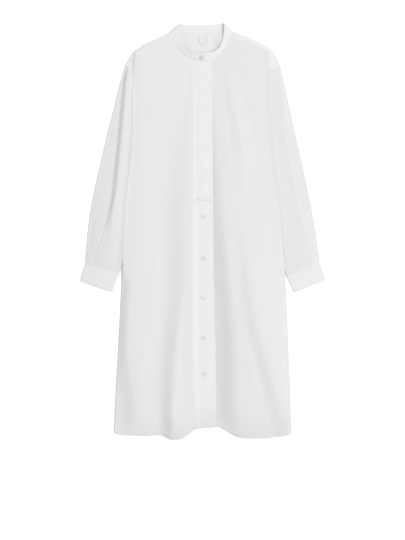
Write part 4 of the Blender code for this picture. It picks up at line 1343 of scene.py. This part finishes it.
# %% Stitching of the hem, the seams, the cuffs and the collar
def hem_row(start, end, over):
    x = np.linspace(start, end, 200) * MM
    y = read(HEM, "x", x, "y") + HEM_WIDTH - 1 * MM
    return with_height(np.stack([x, y], -1), front_height(x, y, over) + CLOTH + 0.1 * MM)


def shoulder_row(side):
    """Along the yoke's front edge, on the yoke."""
    lines = yoke_lines(side)[14:-1]
    end, fold, level = lines[:, 4:6], lines[:, 2:4], lines[:, 6]
    place = end + unit(fold - end) * 1.8 * MM
    return with_height(place, level + ON_FRONT + CLOTH / 2 + 0.1 * MM)


def cuff_row(side, away, from_foot=False):
    """Across the cuff, a distance from its seam or from its foot."""
    seam_outer, seam_inner, foot_inner, foot_outer = cuff_corners(side)
    edges = [(seam_outer, foot_outer), (seam_inner, foot_inner)]
    if from_foot:
        edges = [edge[::-1] for edge in edges]
    outer, inner = (start + unit(end - start) * away for start, end in edges)
    place = inner + (outer - inner) * np.linspace(0.03, 0.97, 50)[:, None]
    return over_surface(place[:, 0], place[:, 1], cuff_top(side), FIRM / 2 + 0.1 * MM)


def cuff_rows(side):
    """Two rows below the seam and one above the foot."""
    below_seam = [cuff_row(side, away) for away in CUFF_ROWS]
    return stitch_object(f"cuff_{side}_stitches", below_seam + [cuff_row(side, 3 * MM, from_foot=True)])


def collar_row(share_at):
    """Along the band at a share of its height, on its outer face."""
    along, across = np.gradient(collar_mid, axis=0), np.gradient(collar_mid, axis=1)
    normal = unit(np.cross(along, across))
    if (normal * (collar_mid - INSIDE_NECK)).sum() < 0:
        normal = -normal
    k = int(np.argmin(np.abs(collar_share - share_at)))
    face = collar_mid[:, k] + normal[:, k] * (BAND_THICK / 2 + 0.08 * MM)
    return face[3:]


over_stitches = stitch_object("front_over_stitches", [hem_row(-241, -21, True)])
under_stitches = stitch_object("front_under_stitches", [hem_row(40, 240, False)])
yoke_stitches = stitch_object("yoke_stitches", [shoulder_row("left"), shoulder_row("right")])
cuff_left_stitches, cuff_right_stitches = cuff_rows("left"), cuff_rows("right")
collar_stitches = stitch_object("collar_stitches", [collar_row(0.89), collar_row(0.08)])
print("hem, yoke, cuff and collar stitches made")


# %% Threads of the buttons
def button_threads(name, matrix):
    """Two bars over the face, and the shank between the button and the cloth."""
    reach = HOLE_RING * sqrt(0.5)
    over_face = 0.72 * BUTTON_HEIGHT + 0.25 * MM
    across = np.array([1.0, 0, 0])
    bars = np.array([[0, reach, over_face], [0, -reach, over_face]])
    shank = np.array([[0.0, 0, -0.45 * MM]])
    parts = [
        spindles(bars, np.array([across, across]), UP, reach * 2 + 1.9 * MM, 1.25 * MM, sides=8),
        spindles(shank, UP[None], across, 1.2 * MM, 1.9 * MM, sides=8),
    ]
    thing = mesh_object(name, parts, sharp=3.0)
    thing.matrix_world = matrix
    return thing


threads = {name: button_threads(name + "_thread", matrix) for name, matrix in places.items()}
print("button threads:", len(threads))

# %% [markdown]
# ## The poplin
#
# Poplin is a plain weave with fine ribs across it: nearly matt, with a faint sheen where the light
# grazes it. Its weave is far too fine to build, so it is a shader node group: two sets of yarns
# crossing in grain coordinates. A second group gives the soft crumple of cotton that has been
# washed, at a scale between the weave and the modelled creases. Both only put out heights, and
# the material turns them into bump.

# %% Node groups
def add_node(tree, kind, inputs):
    """A shader node with its inputs set to values or linked to other nodes' outputs."""
    node = tree.nodes.new("ShaderNode" + kind)
    for label, value in inputs.items():
        if isinstance(value, bpy.types.NodeSocket):
            tree.links.new(value, node.inputs[label])
        else:
            node.inputs[label].default_value = value
    return node


def math_node(tree, operation, *values):
    node = add_node(tree, "Math", dict(enumerate(values)))
    node.operation = operation
    return node.outputs[0]


def height_group(name, place, knob, value):
    """(group, the place given to it, its knob): a group that turns a place into a height."""
    group = bpy.data.node_groups.new(name, "ShaderNodeTree")
    group.interface.new_socket(name=place, in_out="INPUT", socket_type="NodeSocketVector")
    group.interface.new_socket(name=knob, in_out="INPUT", socket_type="NodeSocketFloat").default_value = value
    group.interface.new_socket(name="Height", in_out="OUTPUT", socket_type="NodeSocketFloat")
    given = group.nodes.new("NodeGroupInput")
    return group, given.outputs[place], given.outputs[knob]


def put_out(group, height):
    group.links.new(height, group.nodes.new("NodeGroupOutput").inputs["Height"])
    return group


def weave_group():
    """Height of a plain weave with ribs, from grain coordinates in metres."""
    group, grain, yarns = height_group("Poplin weave", "Grain", "Yarns per metre", 2200.0)
    parts = add_node(group, "SeparateXYZ", {0: grain})
    turns = math_node(group, "MULTIPLY", yarns, pi)
    warp = math_node(group, "SINE", math_node(group, "MULTIPLY", parts.outputs[0], turns))
    ribs = math_node(group, "MULTIPLY", turns, 0.6)
    weft = math_node(group, "SINE", math_node(group, "MULTIPLY", parts.outputs[1], ribs))
    crossing = math_node(group, "ABSOLUTE", math_node(group, "MULTIPLY", warp, weft))
    high_crossing = math_node(group, "MULTIPLY", crossing, 0.6)
    high_rib = math_node(group, "MULTIPLY", math_node(group, "ABSOLUTE", weft), 0.4)
    return put_out(group, math_node(group, "ADD", high_crossing, high_rib))


def crumple_group():
    """Height of a soft crumple, from a position in metres."""
    group, place, scale = height_group("Soft crumple", "Position", "Scale", 38.0)
    rough = {"Detail": 3.0, "Roughness": 0.55, "Distortion": 0.8}
    broad = add_node(group, "TexNoise", {"Vector": place, "Scale": scale, **rough})
    finer = math_node(group, "MULTIPLY", scale, 4.5)
    fine = add_node(group, "TexNoise", {"Vector": place, "Scale": finer, "Detail": 2.0})
    low_fine = math_node(group, "MULTIPLY", fine.outputs[0], 0.18)
    return put_out(group, math_node(group, "ADD", broad.outputs[0], low_fine))


WEAVE, CRUMPLE = weave_group(), crumple_group()
print("node groups:", WEAVE.name, "and", CRUMPLE.name)


# %% Materials
def surface(name, colour, settings):
    """(material, its node tree, its shader)"""
    finish = bpy.data.materials.new(name)
    finish.use_nodes = True
    shader = finish.node_tree.nodes["Principled BSDF"]
    shader.inputs["Base Color"].default_value = (*colour, 1)
    for label, value in settings.items():
        shader.inputs[label].default_value = value
    return finish, finish.node_tree, shader


def group_height(tree, group, label, place):
    node = tree.nodes.new("ShaderNodeGroup")
    node.node_tree = group
    tree.links.new(place, node.inputs[label])
    return node.outputs["Height"]


COTTON = {"Roughness": 0.86, "Specular IOR Level": 0.25, "Sheen Weight": 0.12, "Sheen Roughness": 0.45}


def poplin(name, level, crumple, weave=0.05):
    """White cotton poplin. crumple and weave are bump heights in millimetres."""
    finish, tree, shader = surface(name, white(level), COTTON)
    grain = tree.nodes.new("ShaderNodeUVMap")
    grain.uv_map = "Grain"
    place = tree.nodes.new("ShaderNodeTexCoord").outputs["Object"]
    soft = {"Height": group_height(tree, CRUMPLE, "Position", place), "Distance": crumple * MM}
    soft_bump = add_node(tree, "Bump", {**soft, "Strength": 1.0})
    yarns = {"Height": group_height(tree, WEAVE, "Grain", grain.outputs[0]), "Distance": weave * MM}
    yarn_bump = add_node(tree, "Bump", {**yarns, "Strength": 0.6, "Normal": soft_bump.outputs["Normal"]})
    tree.links.new(yarn_bump.outputs["Normal"], shader.inputs["Normal"])
    return finish


def plain(name, colour, roughness, coat=0.0, specular=0.5):
    settings = {"Roughness": roughness, "Coat Weight": coat, "Specular IOR Level": specular}
    return surface(name, colour, settings)[0]


def white(level):
    """A white a shade warmer than neutral."""
    return (level * 0.951, level * 0.951, level * 0.934)


Cloth = namedtuple("Cloth", "level crumple")
# The whites of the pieces are lit and shaded copies of one poplin. The under front and the sleeves are set
# darker as painted shade. The yoke, placket, collar and cuffs are set lighter, partly for their extra layers
# of cloth and partly as painted light.
LIT_AND_SHADED_CLOTHS = {
    "body": Cloth(0.722, 0.4),
    "under front": Cloth(0.702, 0.4),
    "yoke": Cloth(0.738, 0.5),
    "placket": Cloth(0.742, 0.35),
    "collar": Cloth(0.745, 0.5),
    "sleeves": Cloth(0.695, 0.4),
    "cuffs": Cloth(0.728, 0.35),
}
finishes = {part: poplin("White poplin, " + part, *cloth) for part, cloth in LIT_AND_SHADED_CLOTHS.items()}
thread_finish = plain("White thread", white(0.72), 0.7, specular=0.3)
tape_finish = poplin("White tape", 0.7, 0.1, weave=0.15)


def pearl():
    """Shirt-button pearl: a greyish white with a soft cloudy change of tone and a clear gloss."""
    finish = plain("Pearl", (0.66, 0.66, 0.65), 0.3, coat=0.4)
    tree = finish.node_tree
    place = tree.nodes.new("ShaderNodeTexCoord").outputs["Object"]
    cloud = add_node(tree, "TexNoise", {"Vector": place, "Scale": 260.0, "Distortion": 1.2})
    tones = add_node(tree, "ValToRGB", {0: cloud.outputs[0]})
    tones.color_ramp.elements[0].color = (0.56, 0.56, 0.56, 1)
    tones.color_ramp.elements[1].color = (0.74, 0.74, 0.72, 1)
    tree.links.new(tones.outputs[0], tree.nodes["Principled BSDF"].inputs["Base Color"])
    return finish


pearl_finish = pearl()
print("materials:", len(bpy.data.materials))

# %% [markdown]
# ## What each piece stands for
#
# Every visible piece rides on the frame, takes the place of its own plain counterpart there and
# names the finish it takes. Each sheet also says what size it was cut, before it was sewn.

# %% Pieces and their finishes
Piece = namedtuple("Piece", "thing node slot cloth stitches width length share rests_on")
FLOOR = ["white_floor"]
PIECES = rows(
    Piece,
    (back_panel, "back_panel", "body_cloth", "body", None, 0.480, 0.985, 0.85, FLOOR),
    (back_yoke, "back_yoke", "body_cloth", "yoke", yoke_stitches, 0.430, 0.180, 0.62, FLOOR),
    (front_under, "front_under", "body_cloth", "under front", under_stitches,
     0.290, 1.110, 0.82, [sleeve_right, back_panel]),
    (front_over, "front_over", "body_cloth", "body", over_stitches,
     0.300, 1.105, 0.82, [sleeve_left, front_under]),
    (placket_upper, "placket_upper", "placket_cloth", "placket", upper_stitches,
     0.054, 0.385, 0.99, [front_over]),
    (placket_lower, "placket_lower", "placket_cloth", "placket", lower_stitches,
     0.058, 0.622, 0.98, [front_over]),
    (collar, "collar_band", "collar_cloth", "collar", collar_stitches,
     0.460, 0.026, 0.9, [back_yoke, front_over]),
    (sleeve_left, "sleeve_left", "sleeve_cloth", "sleeves", None, 0.224, 0.560, 0.92, FLOOR),
    (sleeve_right, "sleeve_right", "sleeve_cloth", "sleeves", None, 0.220, 0.560, 0.92, FLOOR),
    (cuff_left, "cuff_left", "cuff_cloth", "cuffs", cuff_left_stitches, 0.198, 0.062, 0.9, FLOOR),
    (cuff_right, "cuff_right", "cuff_cloth", "cuffs", cuff_right_stitches, 0.195, 0.056, 0.9, FLOOR),
)


def declare(thing, finish=None, node=None):
    """Rides on the frame, with a finish, and in the place of a node."""
    if finish:
        thing.data.materials.append(finish)
    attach(thing, "root")
    if node:
        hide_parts(node)


for piece in PIECES:
    declare(piece.thing, finishes[piece.cloth], piece.node)
    if piece.stitches:
        declare(piece.stitches, thread_finish)
declare(loop, tape_finish, "hanger_loop")
button_disc.materials.clear()
button_disc.materials.append(pearl_finish)
for name, thing in buttons.items():
    declare(thing, node=name)
    declare(threads[name], thread_finish)
print("pieces:", len(PIECES) + 1, "of cloth and", len(buttons), "buttons")


# %% Flat sizes
def cloth_area(thing):
    """Half the area of a closed shell, which is the area of its cloth."""
    areas = np.empty(len(thing.data.polygons))
    thing.data.polygons.foreach_get("area", areas)
    return areas.sum() / 2


for piece in PIECES:
    stated = piece.width * piece.length * piece.share
    print(piece.node, "stated", round(stated, 4), "modelled", round(cloth_area(piece.thing), 4), "m2")

# %% [markdown]
# ## Floor, light and camera
#
# The light is that of a large white room: one broad soft source nearly overhead, twenty degrees
# off the vertical towards the right, and a fainter light from all round.
# Slopes that face left turn slightly grey, the ones that face right stay white, and the contact
# shadows are tight. The camera looks straight down.

# %% Floor
bpy.ops.mesh.primitive_plane_add(size=12, location=(0, 0, 0))
floor = bpy.context.object
floor.name = "white_floor"
floor.data.materials.append(plain("White floor", (0.955, 0.955, 0.955), 0.9, specular=0.1))
print("floor:", floor.dimensions.x, "m wide")

# %% Light
LIGHT_FROM = Vector((1.9, 0.5, 5.25))  # metres from the dress
SOURCE_WIDTH = 4.6
BRIGHT, ROOM = 3.2, 0.42  # what falls on the dress from the source, and the light from all round
box_data = bpy.data.lights.new("Broad soft source", "AREA")
box_data.shape = "SQUARE"
box_data.size = SOURCE_WIDTH
box_data.energy = BRIGHT * pi * LIGHT_FROM.length**2
box = bpy.data.objects.new("Broad soft source", box_data)
box.location = LIGHT_FROM
box.rotation_euler = LIGHT_FROM.to_track_quat("Z", "Y").to_euler()
bpy.context.scene.collection.objects.link(box)
world = bpy.data.worlds.new("White room")
bpy.context.scene.world = world
world.use_nodes = True
world.node_tree.nodes["Background"].inputs["Color"].default_value = (1, 1, 1, 1)
world.node_tree.nodes["Background"].inputs["Strength"].default_value = ROOM
bpy.context.scene.view_settings.view_transform = "Standard"
bpy.context.scene.view_settings.look = "None"
print("light:", round(box_data.energy), "W and room", ROOM)

# %% Camera
AIM = (-0.0015, -0.1077)  # the point of the floor under the camera
HEIGHT, SHOWN = 3.2, 1.485  # metres above the floor, and metres of floor seen from top to bottom
lens = bpy.data.cameras.new("Camera")
lens.sensor_fit = "VERTICAL"
lens.sensor_height = 36
lens.lens = 36 * HEIGHT / SHOWN
lens.clip_start, lens.clip_end = 0.1, 20
camera = bpy.data.objects.new("Camera", lens)
camera.location = (*AIM, HEIGHT)
bpy.context.scene.collection.objects.link(camera)
bpy.context.scene.camera = camera
print("camera:", round(lens.lens, 1), "mm lens")
